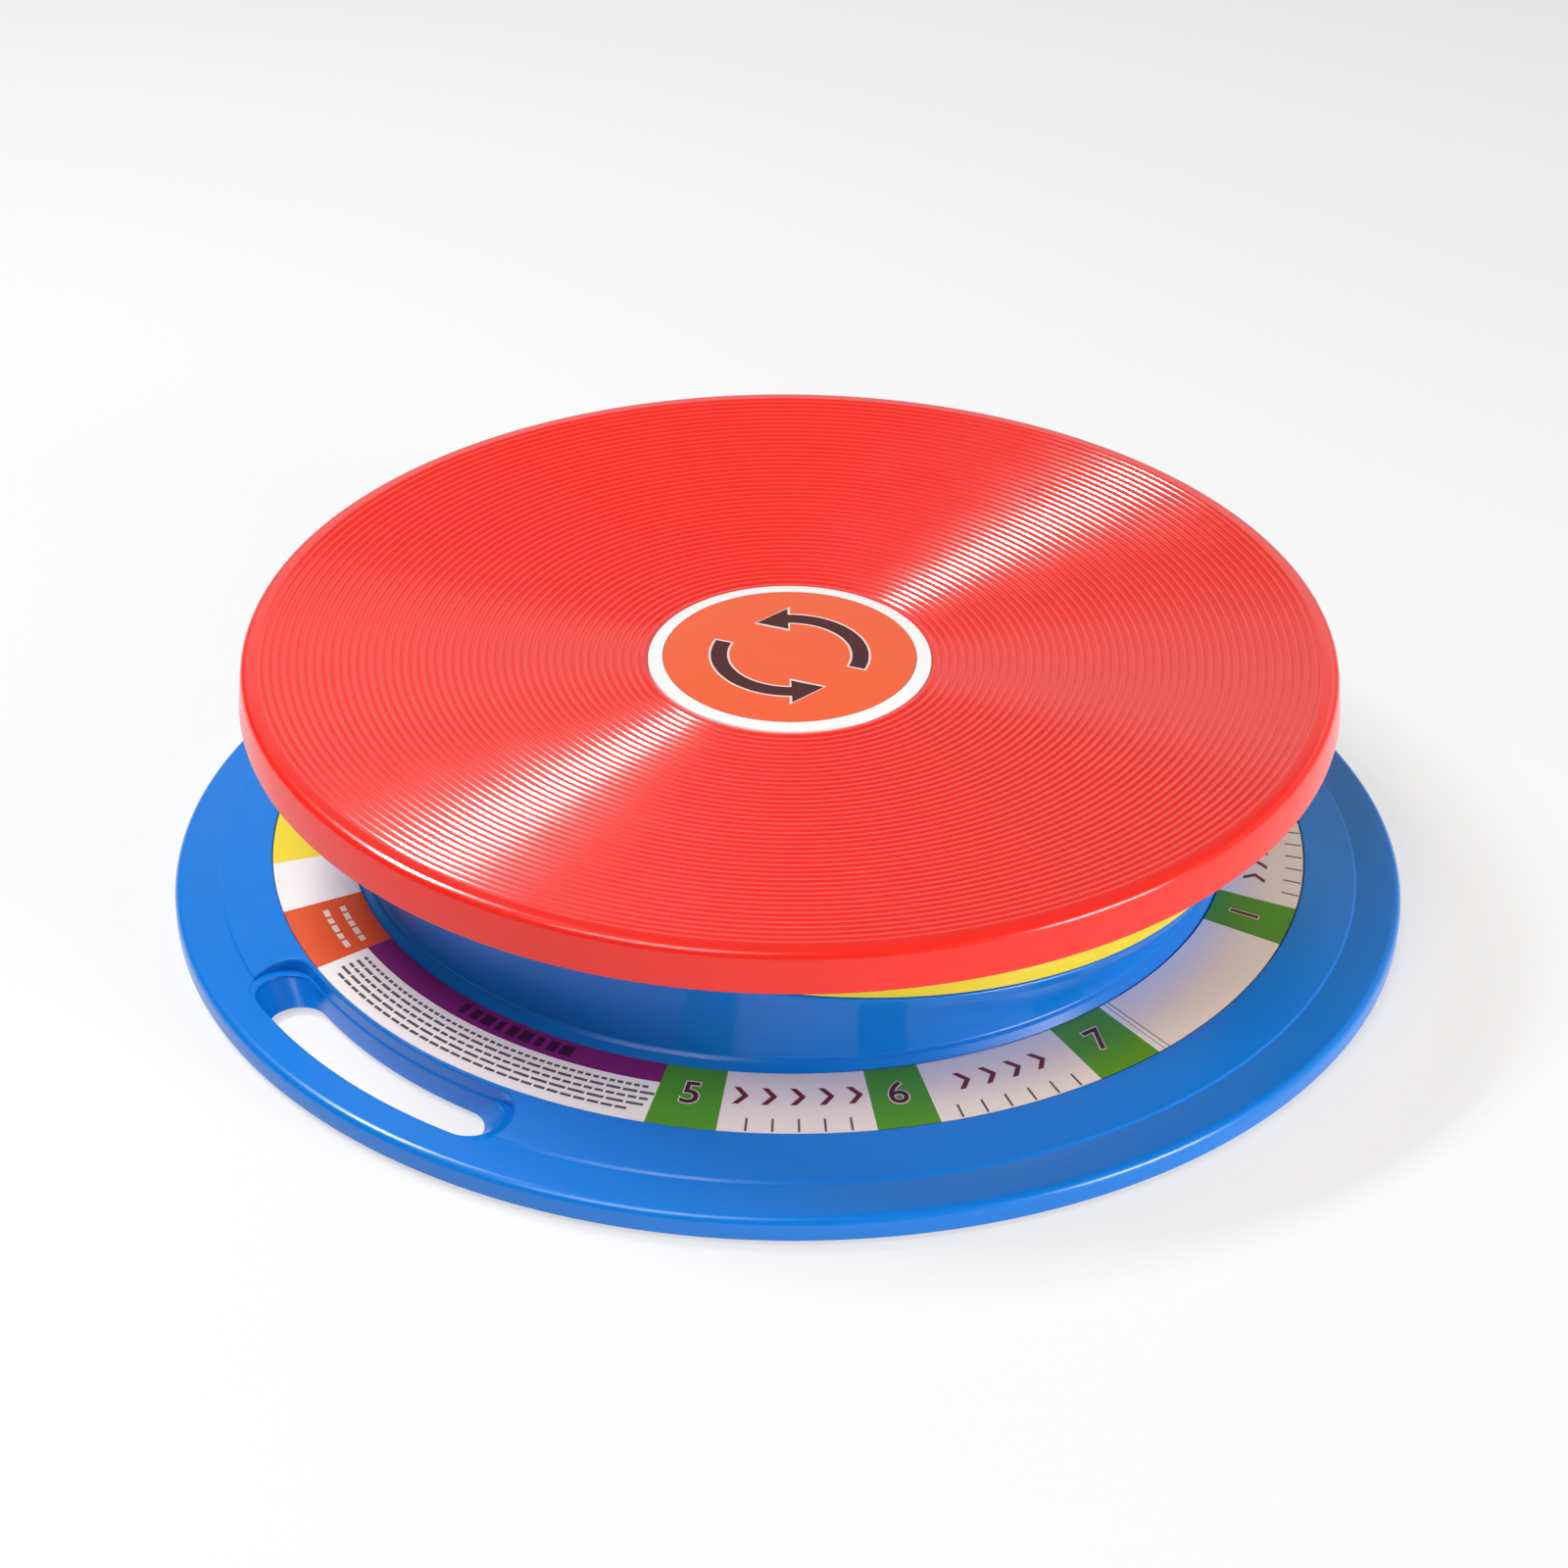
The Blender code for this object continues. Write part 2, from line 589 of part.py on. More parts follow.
def make_cover_bosses(group):
    top = deck_middle(cover_screw_radius)
    for index, angle in enumerate(cover_screw_angles):
        outline = ring_outline(screw_hole, COVER_BOSS_RADIUS, inside_bottom, top)
        boss = turned(f"cover_boss_{index + 1}", outline, None, SCREW_STEPS, None, group)
        boss.location = polar(cover_screw_radius, angle)


screw_hole = SCREW_SHANK_RADIUS + SEAT_GAP
foot_angles = spread(FEET, SLOT_HEADING + math.pi / FEET)
cover_screw_angles = spread(COVER_SCREWS, SLOT_HEADING)
keeper_screw_angles = spread(KEEPER_SCREWS)
hub_screw_angles = spread(HUB_SCREWS, math.pi / HUB_SCREWS)
ball_angles = spread(BALLS, math.pi / BIG_STEPS)


def make_base_shell():
    shell = turned("base_shell", base_outline(), BLUE, BIG_STEPS)
    joined = new_collection("base_joins", tools)
    cuts = new_collection("base_cuts", tools)
    for index, angle in enumerate(spread(BASE_RIBS, math.pi / BASE_RIBS)):
        blade(f"base_rib_{index + 1}", base_rib_outline(), BASE_RIB_THICKNESS, angle, joined)
    make_feet_bosses(joined)
    make_cover_bosses(joined)
    make_slot_shapes(joined, cuts)
    outline = disc_outline(FOOT_RADIUS + SEAT_GAP, rim_bottom - CUT_OVER, rim_bottom + FOOT_DEPTH + SEAT_GAP)
    for index, angle in enumerate(foot_angles):
        socket = turned(f"foot_socket_{index + 1}", outline, None, SMALL_STEPS, None, cuts)
        socket.location = polar(foot_circle, angle)
    combine(shell, joined, "UNION")
    combine(shell, cuts, "DIFFERENCE")
    lean(shell)
    low = SPIGOT_HEIGHT - SCREW_LENGTH
    high = SPIGOT_HEIGHT + CUT_OVER
    circle = keeper_screw_circle
    screw_holes = holes("spigot_hole", screw_hole, low, high, circle, keeper_screw_angles, slope_frame)
    combine(shell, screw_holes, "DIFFERENCE")


# Screws, bottom cover and rubber feet

def make_screw(name, place, parent=None, upside_down=False):
    """A pan-head screw with the underside of its head at a place."""
    outline = [(0, SCREW_HEAD_HEIGHT), (SCREW_CROWN_RADIUS, SCREW_HEAD_HEIGHT), (SCREW_HEAD_RADIUS, 0)]
    outline += [(SCREW_SHANK_RADIUS, 0), (SCREW_SHANK_RADIUS, -SCREW_LENGTH), (0, -SCREW_LENGTH - SCREW_TIP)]
    screw = turned(name, outline, STEEL, SCREW_STEPS, parent)
    screw.location = place
    if upside_down:
        screw.rotation_euler.x = math.pi


def make_cover():
    """The cover closes the base from below, with its screws' heads sunk in it."""
    cover = turned("bottom_cover", disc_outline(cover_radius, cover_bottom, cover_top), BLUE, BIG_STEPS)
    cuts = new_collection("cover_cuts", tools)
    seat = cover_bottom + SCREW_HEAD_HEIGHT + SEAT_GAP
    wide = SCREW_HEAD_RADIUS + SEAT_GAP
    above = cover_top + CUT_OVER
    below = cover_bottom - CUT_OVER
    outline = [(0, above), (screw_hole, above), (screw_hole, seat), (wide, seat), (wide, below), (0, below)]
    for index, angle in enumerate(cover_screw_angles):
        hole = turned(f"cover_hole_{index + 1}", outline, None, SCREW_STEPS, None, cuts)
        hole.location = polar(cover_screw_radius, angle)
        place = polar(cover_screw_radius, angle, seat - SEAT_GAP)
        make_screw(f"cover_screw_{index + 1}", place, None, True)
    combine(cover, cuts, "DIFFERENCE")


def make_feet():
    top = rim_bottom + FOOT_DEPTH
    outline = [(0, top), (FOOT_RADIUS, top), (FOOT_RADIUS, FOOT_CHAMFER)]
    outline += [(FOOT_RADIUS - FOOT_CHAMFER, 0), (0, 0)]
    for index, angle in enumerate(foot_angles):
        foot = turned(f"rubber_foot_{index + 1}", outline, RUBBER, SMALL_STEPS)
        foot.location = polar(foot_circle, angle)


# Label ring, friction ring and keeper ring

def make_label_ring():
    """The printed strip lies in its recess round the drum's foot."""
    inner = label_inner_radius + SEAT_GAP
    outer = label_outer_radius - SEAT_GAP
    low_inner = deck_height(inner) + SEAT_GAP
    low_outer = deck_height(outer) + SEAT_GAP
    outline = [(inner, low_inner + LABEL_THICKNESS), (outer, low_outer + LABEL_THICKNESS)]
    outline += [(outer, low_outer), (inner, low_inner)]
    turned("label_ring", outline, CREAM, BIG_STEPS)


def make_friction_ring():
    top = friction_bottom + FRICTION_THICKNESS
    outline = ring_outline(friction_inner, friction_outer, friction_bottom, top)
    turned("friction_ring", outline, RUBBER, BIG_STEPS, slope_frame)


def make_keeper():
    """A steel ring screwed to the spigot's end holds the wedge ring down."""
    outline = ring_outline(SPIGOT_BORE + SEAT_GAP, keeper_radius, keeper_bottom, keeper_top)
    keeper = turned("keeper_ring", outline, STEEL, MEDIUM_STEPS, slope_frame)
    low = keeper_bottom - CUT_OVER
    high = keeper_top + CUT_OVER
    cuts = holes("keeper_hole", screw_hole, low, high, keeper_screw_circle, keeper_screw_angles, slope_frame)
    combine(keeper, cuts, "DIFFERENCE")
    for index, angle in enumerate(keeper_screw_angles):
        place = polar(keeper_screw_circle, angle, keeper_top + SEAT_GAP)
        make_screw(f"keeper_screw_{index + 1}", place, slope_frame)


# Wedge ring

def slope_top(item, level, drop, lowest):
    """Move every point above a level to the wedge's sloping top less a drop, but no lower than lowest."""
    for vertex in item.data.vertices:
        if vertex.co.z > level + MERGE_DISTANCE:
            slope = (wedge_height - drop) / math.cos(SLOPE_ANGLE) + vertex.co.x * math.tan(SLOPE_ANGLE)
            vertex.co.z = max(slope, lowest)


def make_pocket(name, inner, outer, group):
    """A hollow under the sloping roof, open at the bottom, that leaves radial ribs standing."""
    low = wedge_bottom - CUT_OVER
    pocket = turned(name, ring_outline(inner, outer, low, wedge_height), None, BIG_STEPS, ring_frame, group)
    slope_top(pocket, low, WEDGE_ROOF, low + SEAT_GAP)
    ribs = new_collection(f"{name}_ribs", tools)
    reach = 2 * wedge_height
    outline = [(inner - CUT_OVER, -reach), (outer + CUT_OVER, -reach)]
    outline += [(outer + CUT_OVER, reach), (inner - CUT_OVER, reach)]
    for index, angle in enumerate(spread(WEDGE_RIBS, math.pi / WEDGE_RIBS)):
        blade(f"{name}_rib_{index + 1}", outline, WEDGE_RIB_THICKNESS, angle, ribs, ring_frame)
    combine(pocket, ribs, "DIFFERENCE")


def make_wedge_ring():
    """A moulded ring with a level bottom, a sloping top, a well in its middle and hollows below."""
    bore = spigot_radius + RUN_GAP
    outline = [(well_radius, wedge_height), (drum_top_radius, wedge_height), (drum_top_radius, wedge_bottom)]
    outline += [(bore, wedge_bottom), (bore, flange_top), (well_radius, flange_top)]
    ring = turned("wedge_ring", outline, YELLOW, BIG_STEPS, ring_frame)
    slope_top(ring, flange_top, 0.0, wedge_bottom + SEAT_GAP)
    cuts = new_collection("wedge_cuts", tools)
    well_outside = hub_plate_radius + WEDGE_WALL
    pad_inner = friction_inner - WEDGE_PAD_MARGIN
    pad_outer = friction_outer + WEDGE_PAD_MARGIN
    make_pocket("inner_pocket", well_outside, pad_inner, cuts)
    make_pocket("outer_pocket", pad_outer, drum_top_radius - WEDGE_WALL, cuts)
    seat = disc_outline(hub_plate_radius + SEAT_GAP, hub_plate_bottom - SEAT_GAP, 2 * wedge_height)
    turned("hub_seat", seat, None, MEDIUM_STEPS, disc_frame, cuts)
    combine(ring, cuts, "DIFFERENCE")
    low = hub_plate_bottom - SCREW_LENGTH - SCREW_TIP
    high = hub_plate_top
    screw_holes = holes("hub_hole", screw_hole, low, high, hub_screw_circle, hub_screw_angles, disc_frame)
    combine(ring, screw_holes, "DIFFERENCE")
    lip_group = new_collection("wedge_lip", tools)
    lip_inner = race_outer + SEAT_GAP
    lip_low = wedge_height - WEDGE_ROOF / 2
    lip = ring_outline(lip_inner, lip_inner + RACE_LIP_WIDTH, lip_low, wedge_height + RACE_LIP_HEIGHT)
    turned("race_lip", lip, None, BIG_STEPS, disc_frame, lip_group)
    combine(ring, lip_group, "UNION")


def make_hub_plate():
    """A steel plate over the well in the wedge ring carries the bolt."""
    outline = ring_outline(BOLT_RADIUS + SEAT_GAP, hub_plate_radius, hub_plate_bottom, hub_plate_top)
    plate = turned("hub_plate", outline, STEEL, MEDIUM_STEPS, disc_frame)
    low = hub_plate_bottom - CUT_OVER
    high = hub_plate_top + CUT_OVER
    cuts = holes("hub_plate_hole", screw_hole, low, high, hub_screw_circle, hub_screw_angles, disc_frame)
    combine(plate, cuts, "DIFFERENCE")
    for index, angle in enumerate(hub_screw_angles):
        place = polar(hub_screw_circle, angle, hub_plate_top + SEAT_GAP)
        make_screw(f"hub_screw_{index + 1}", place, disc_frame)


# Bolt, washers and nut

def make_bolt():
    end = nut_bottom - BOLT_END
    outline = [(0, bolt_head_top), (BOLT_HEAD_RADIUS - SEAT_GAP, bolt_head_top)]
    outline += [(BOLT_HEAD_RADIUS, bolt_head_bottom), (BOLT_RADIUS, bolt_head_bottom)]
    outline += [(BOLT_RADIUS, end), (0, end)]
    turned("pivot_bolt", outline, STEEL, SMALL_STEPS, disc_frame)


def make_washers():
    inner = BOLT_RADIUS + SEAT_GAP
    outline = ring_outline(inner, THRUST_WASHER_RADIUS, thrust_top - THRUST_WASHER_THICKNESS, thrust_top)
    turned("thrust_washer", outline, NYLON, SMALL_STEPS, disc_frame)
    outline = ring_outline(inner, NUT_WASHER_RADIUS, nut_washer_top - NUT_WASHER_THICKNESS, nut_washer_top)
    turned("nut_washer", outline, STEEL, SMALL_STEPS, disc_frame)


def make_nut():
    """A six-sided nut with a round bore."""
    nut = turned("lock_nut", disc_outline(NUT_RADIUS, nut_bottom, nut_top), STEEL, NUT_SIDES, disc_frame)
    cuts = new_collection("nut_cuts", tools)
    bore = disc_outline(BOLT_RADIUS + SEAT_GAP, nut_bottom - CUT_OVER, nut_top + CUT_OVER)
    turned("nut_bore", bore, None, SMALL_STEPS, disc_frame, cuts)
    combine(nut, cuts, "DIFFERENCE")


# Ball bearing

def groove_arc(side):
    """The groove's points, left to right: below the balls' circle for side -1, above it for 1."""
    reach = math.degrees(math.asin(RACE_SPACING / 2 / groove_radius))
    if side < 0:
        return arc(ball_circle, ball_height, groove_radius, 180 + reach, 360 - reach, GROOVE_STEPS)
    return arc(ball_circle, ball_height, groove_radius, 180 - reach, reach, GROOVE_STEPS)


def make_races():
    lower = [(race_inner, lower_race_top)] + groove_arc(-1) + [(race_outer, lower_race_top)]
    lower += [(race_outer, lower_race_bottom), (race_inner, lower_race_bottom)]
    turned("lower_race", lower, STEEL, BIG_STEPS, disc_frame)
    upper = [(race_inner, upper_race_top), (race_outer, upper_race_top), (race_outer, upper_race_bottom)]
    upper += list(reversed(groove_arc(1))) + [(race_inner, upper_race_bottom)]
    turned("upper_race", upper, STEEL, BIG_STEPS, disc_frame)


def make_cage():
    half = CAGE_THICKNESS / 2
    reach = BALL_RADIUS + CAGE_MARGIN
    outline = ring_outline(ball_circle - reach, ball_circle + reach, ball_height - half, ball_height + half)
    cage = turned("ball_cage", outline, NYLON, BIG_STEPS, cage_frame)
    low = ball_height - CUT_OVER
    high = ball_height + CUT_OVER
    cuts = holes("cage_hole", BALL_RADIUS + SEAT_GAP, low, high, ball_circle, ball_angles, cage_frame)
    combine(cage, cuts, "DIFFERENCE")


def make_balls():
    mesh = bpy.data.meshes.new("ball")
    work = bmesh.new()
    bmesh.ops.create_uvsphere(work, u_segments=SCREW_STEPS, v_segments=SCREW_STEPS // 2, radius=BALL_RADIUS)
    work.to_mesh(mesh)
    work.free()
    mesh.shade_smooth()
    for index, angle in enumerate(ball_angles):
        ball = add_object(f"ball_{index + 1}", mesh, STEEL, cage_frame, parts)
        ball.location = polar(ball_circle, angle, ball_height)


# Disc, hub bush, hub cap and hub label

def disc_section():
    """The disc's section: hub pocket, dish, shoulder and skirt, then back along the underside."""
    hole = BOLT_RADIUS + SEAT_GAP + BUSH_WALL + SEAT_GAP
    head_pocket = BOLT_HEAD_RADIUS + RUN_GAP
    hub = head_pocket + DISC_HUB_MARGIN
    pocket = CAP_RADIUS + SEAT_GAP
    rim_level = disc_level + DISH_DEPTH
    side_top = DISC_RADIUS - DISC_SKIRT_FLARE
    outline = [(hole, hub_floor), (head_pocket, hub_floor)]
    outline += [(head_pocket, pocket_floor), (pocket, pocket_floor)]
    for index in range(DISH_STEPS + 1):
        radius = pocket + (dish_end - pocket) * index / DISH_STEPS
        outline.append((radius, disc_level + dish_rise(radius)))
    outline += arc(side_top - DISC_SHOULDER, rim_level - DISC_SHOULDER, DISC_SHOULDER, 90, 0, ROUND_STEPS)
    outline += [(DISC_RADIUS, skirt_bottom), (DISC_RADIUS - DISC_WALL, skirt_bottom)]
    outline += [(side_top - DISC_WALL, rim_level - 2 * DISC_WALL)]
    seat_outer = race_outer + SEAT_GAP
    seat_inner = race_inner - SEAT_GAP
    lip = seat_outer + DISC_WALL
    outline += [(dish_end, rim_level - DISC_WALL)]
    middle = (dish_end + lip) / 2
    outline += [(middle, disc_level + dish_rise(middle) - DISC_WALL)]
    outline += [(lip, disc_level + dish_rise(lip) - DISC_WALL)]
    outline += [(seat_outer + DISC_WALL / 2, upper_race_bottom)]
    outline += [(seat_outer, upper_race_bottom), (seat_outer, race_seat), (seat_inner, race_seat)]
    outline += [(seat_inner, disc_level + dish_rise(seat_inner) - DISC_WALL)]
    middle = (seat_inner + pocket) / 2
    outline += [(middle, disc_level + dish_rise(middle) - DISC_WALL)]
    outline += [(pocket + DISC_WALL, pocket_floor - DISC_WALL), (hub, pocket_floor - DISC_WALL)]
    outline += [(hub, hub_bottom), (hole, hub_bottom)]
    return outline


def make_disc():
    disc = turned("spinning_disc", disc_section(), RED, BIG_STEPS, disc_frame)
    ribs = new_collection("disc_ribs", tools)
    half = DISC_WALL / 2
    start = race_outer + SEAT_GAP + half
    end = DISC_RADIUS - DISC_SKIRT_FLARE - half
    low = skirt_bottom + DISC_RIB_RISE
    start_low = max(low, upper_race_bottom + SEAT_GAP)
    outline = [(start, start_low), (start + DISC_WALL, low), (end, low)]
    outline += [(end, disc_level + DISH_DEPTH - DISC_WALL), (dish_end, disc_level + DISH_DEPTH - half)]
    outline += [(start, disc_level + dish_rise(start) - half)]
    for index, angle in enumerate(spread(DISC_RIBS, math.pi / BIG_STEPS)):
        blade(f"disc_rib_{index + 1}", outline, DISC_RIB_THICKNESS, angle, ribs, disc_frame)
    combine(disc, ribs, "UNION")


def make_bush():
    inner = BOLT_RADIUS + SEAT_GAP
    outline = ring_outline(inner, inner + BUSH_WALL, hub_bottom, hub_floor)
    turned("hub_bush", outline, NYLON, SMALL_STEPS, disc_frame)


def make_hub_cap():
    """The white cap has a sloped edge round a shallow seat for the orange label."""
    label_edge = CAP_RADIUS - CAP_BEVEL_WIDTH - CAP_FLAT
    label_floor = cap_top - CAP_LABEL_THICKNESS - SEAT_GAP
    outline = [(0, label_floor), (label_edge, label_floor), (label_edge, cap_top)]
    outline += [(label_edge + CAP_FLAT, cap_top), (CAP_RADIUS - SEAT_GAP, cap_top - CAP_BEVEL_DROP)]
    outline += [(CAP_RADIUS, cap_top - 2 * CAP_BEVEL_DROP), (CAP_RADIUS, cap_bottom), (0, cap_bottom)]
    turned("hub_cap", outline, WHITE, BIG_STEPS, disc_frame)
    label = disc_outline(label_edge - SEAT_GAP, label_floor + SEAT_GAP, cap_top)
    turned("hub_label", label, ORANGE, BIG_STEPS, disc_frame)


make_base_shell()
make_cover()
make_feet()
make_label_ring()
make_friction_ring()
make_keeper()
make_wedge_ring()
make_hub_plate()
make_bolt()
make_washers()
make_nut()
make_races()
make_cage()
make_balls()
make_disc()
make_bush()
make_hub_cap()
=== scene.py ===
"""Looks of the spinning balance board: glossy moulded plastic, printed labels, rubber feet and steel
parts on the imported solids, seen on a pale floor in soft studio light.
"""

import json
import math

import bmesh
import bpy
from mathutils import Matrix, Vector


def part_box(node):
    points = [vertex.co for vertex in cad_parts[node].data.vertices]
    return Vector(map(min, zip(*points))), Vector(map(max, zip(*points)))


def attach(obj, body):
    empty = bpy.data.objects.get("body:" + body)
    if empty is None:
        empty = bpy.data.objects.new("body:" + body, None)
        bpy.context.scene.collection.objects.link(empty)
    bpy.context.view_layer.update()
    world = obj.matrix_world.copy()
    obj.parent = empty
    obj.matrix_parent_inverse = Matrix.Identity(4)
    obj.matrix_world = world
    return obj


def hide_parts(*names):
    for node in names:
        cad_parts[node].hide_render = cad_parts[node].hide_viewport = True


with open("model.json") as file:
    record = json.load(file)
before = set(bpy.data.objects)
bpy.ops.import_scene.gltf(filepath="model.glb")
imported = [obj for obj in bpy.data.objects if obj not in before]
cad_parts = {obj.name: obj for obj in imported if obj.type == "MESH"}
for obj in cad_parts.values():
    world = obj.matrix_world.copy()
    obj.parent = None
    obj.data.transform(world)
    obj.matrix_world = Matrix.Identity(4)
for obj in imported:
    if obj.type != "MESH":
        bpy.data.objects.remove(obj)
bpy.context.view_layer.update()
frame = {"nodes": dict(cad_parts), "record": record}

# Base shell
#
# The base is one glossy blue moulding: a deck with a rounded rim, a recess for the printed strip and a
# flared drum with a slanted top. A hand slot goes through the deck, and ribs stiffen it from below.
MM = 0.001
BASE_STEPS = 240
BORE_STEPS = 40
SHARP_EDGE = 32             # in degrees; flatter edges are shaded smooth
CUT_OVER = 2 * MM           # how far a cutter runs past the face that it opens
BASE_WALL = 3 * MM
SPIGOT_BORE = 31.0 * MM
SPIGOT_RADIUS = 40.0 * MM
SPIGOT_TOP = 65.9 * MM
COLUMN_RADIUS = 43.0 * MM
COLUMN_LOW = 5.6 * MM
FRICTION_INNER = 127.7 * MM
FRICTION_OUTER = 146.3 * MM
FRICTION_FLOOR = 56.4 * MM
DRUM_MIDDLE = 58.0 * MM
DRUM_EDGE = 0.9 * MM
DRUM_FOOT = 161.0 * MM
DRUM_FLARE = 9.4 * MM
DRUM_CURVE = 1.6
DRUM_TOP = DRUM_FOOT + DRUM_FLARE
DRUM_INSIDE_TOP = 164.4 * MM
LEDGE_RADIUS = 162.2 * MM
LEDGE_TOP = 22.8 * MM
LEDGE_LOW = 21.6 * MM
LEAN_END = 53.6 * MM        # from this height up the drum is tipped by the whole slope
SLOPE_ANGLE = math.radians(6.5)
SLOPE_HEADING = math.radians(34.0)
LABEL_INNER = 164.4 * MM
LABEL_OUTER = 193.7 * MM
SEAT_INNER = 18.6 * MM
SEAT_OUTER = 15.9 * MM
SEAT_UNDER = 15.6 * MM
DECK_INNER = 17.1 * MM
DECK_UNDER_INNER = 12.9 * MM
DECK_UNDER_OUTER = 12.6 * MM
RIDGE = 212.6 * MM
RIDGE_TOP = 12.3 * MM
RIDGE_FOOT = 11.6 * MM
RIDGE_STEP = 0.7 * MM
RIDGE_UNDER = 8.6 * MM
RIM_RADIUS = 230.0 * MM
RIM_TOP = 10.4 * MM
RIM_LOW = 2.0 * MM
RIM_ROUND = 3.2 * MM
RIM_INSIDE = 227.0 * MM
RIM_UNDER = 7.4 * MM
COVER_WALL_OUTER = 193.2 * MM
COVER_WALL_INNER = 189.2 * MM
SLOT_HEADING = math.radians(-90)
SLOT_ANGLE = math.radians(13.9)
SLOT_STEP_ANGLE = math.radians(14.95)
SLOT_LOW_ANGLE = math.radians(11.7)
SLOT_INNER = 195.0 * MM
SLOT_OUTER = 217.4 * MM
SLOT_LOW_INNER = 195.8 * MM
SLOT_LOW_OUTER = 216.0 * MM
SLOT_FLOOR = 11.3 * MM
SLOT_WALL = 2.6 * MM
SLOT_SIDE_STEPS = 24
SLOT_END_STEPS = 16
HOLE_INNER = 195.5 * MM
HOLE_OUTER = 216.6 * MM
HOLE_LOW_INNER = 195.7 * MM
HOLE_LOW_OUTER = 216.1 * MM
RIBS = 12
RIB_THICKNESS = 2.6 * MM
RIB_RISE = 1 * MM           # of the ribs' lower edges above the rim's
RIB_SINK = 1 * MM           # how far the ribs run into the walls at their ends
FEET = 6
FOOT_CIRCLE = 210.1 * MM
FOOT_RADIUS = 8.0 * MM
FOOT_TOP = 4.2 * MM
FOOT_GAP = 0.3 * MM
FOOT_WALL = 2.4 * MM
BLUE = (0.003, 0.205, 0.73)


def rounded(corners):
    """Points of an outline whose corners (radius, height, round) are rounded off, all in metres."""
    points = []
    for index, (radius, height, size) in enumerate(corners):
        here = Vector((radius, height))
        if size == 0:
            points.append(here)
            continue
        back = (Vector(corners[index - 1][:2]) - here).normalized()
        ahead = (Vector(corners[(index + 1) % len(corners)][:2]) - here).normalized()
        half = back.angle(ahead) / 2
        middle = here + (back + ahead).normalized() * size / math.sin(half)
        start = here + back * size / math.tan(half) - middle
        sweep = math.copysign(math.pi - 2 * half, -back.cross(ahead))
        steps = max(2, math.ceil(abs(sweep) / math.radians(15)))
        for step in range(steps + 1):
            points.append(middle + Matrix.Rotation(sweep * step / steps, 2) @ start)
    return points


def smooth(mesh, sharp=SHARP_EDGE):
    """Shade a mesh smooth except at edges sharper than an angle in degrees."""
    mesh.shade_smooth()
    mesh.set_sharp_from_angle(angle=math.radians(sharp))


def finish_mesh(work, name, sharp=SHARP_EDGE):
    """An object from a bmesh, with its normals outward."""
    bmesh.ops.recalc_face_normals(work, faces=work.faces)
    mesh = bpy.data.meshes.new(name)
    work.to_mesh(mesh)
    work.free()
    smooth(mesh, sharp)
    item = bpy.data.objects.new(name, mesh)
    bpy.context.scene.collection.objects.link(item)
    return item


def spun(name, outline, steps, sharp=SHARP_EDGE):
    """A piece turned about Z from (radius, height) points, which may start and end on the axis."""
    work = bmesh.new()
    points = [work.verts.new((radius, 0, height)) for radius, height in outline]
    pairs = list(zip(points, points[1:]))
    if outline[0][0] > 0:
        pairs.append((points[-1], points[0]))
    edges = [work.edges.new(pair) for pair in pairs]
    bmesh.ops.spin(work, geom=points + edges, axis=(0, 0, 1), cent=(0, 0, 0), angle=2 * math.pi,
                   steps=steps, use_merge=True)
    bmesh.ops.remove_doubles(work, verts=work.verts, dist=0.001 * MM)
    return finish_mesh(work, name, sharp)


def polar(radius, angle, height=0.0):
    return Vector((radius * math.cos(angle), radius * math.sin(angle), height))


def spread(count, start=0.0):
    return [start + 2 * math.pi * index / count for index in range(count)]


def deck(radius):
    """Height of the deck's top, and of the label's seat, at a radius."""
    if radius >= RIDGE + RIDGE_STEP:
        return RIDGE_FOOT - (RIDGE_FOOT - RIM_TOP) * (radius - RIDGE) / (RIM_RADIUS - RIM_ROUND - RIDGE)
    if radius >= LABEL_OUTER:
        return DECK_INNER - (DECK_INNER - RIDGE_TOP) * (radius - LABEL_OUTER) / (RIDGE - LABEL_OUTER)
    return SEAT_INNER - (SEAT_INNER - SEAT_OUTER) * (radius - LABEL_INNER) / (LABEL_OUTER - LABEL_INNER)


def drum_wall(share, inset=0.0):
    """A point of the drum's wall between its foot (0) and its top edge (1), before it is tipped."""
    radius = DRUM_FOOT + DRUM_FLARE * share ** DRUM_CURVE
    return radius - inset, LEDGE_TOP + (DRUM_MIDDLE - DRUM_EDGE - LEDGE_TOP) * share, 0


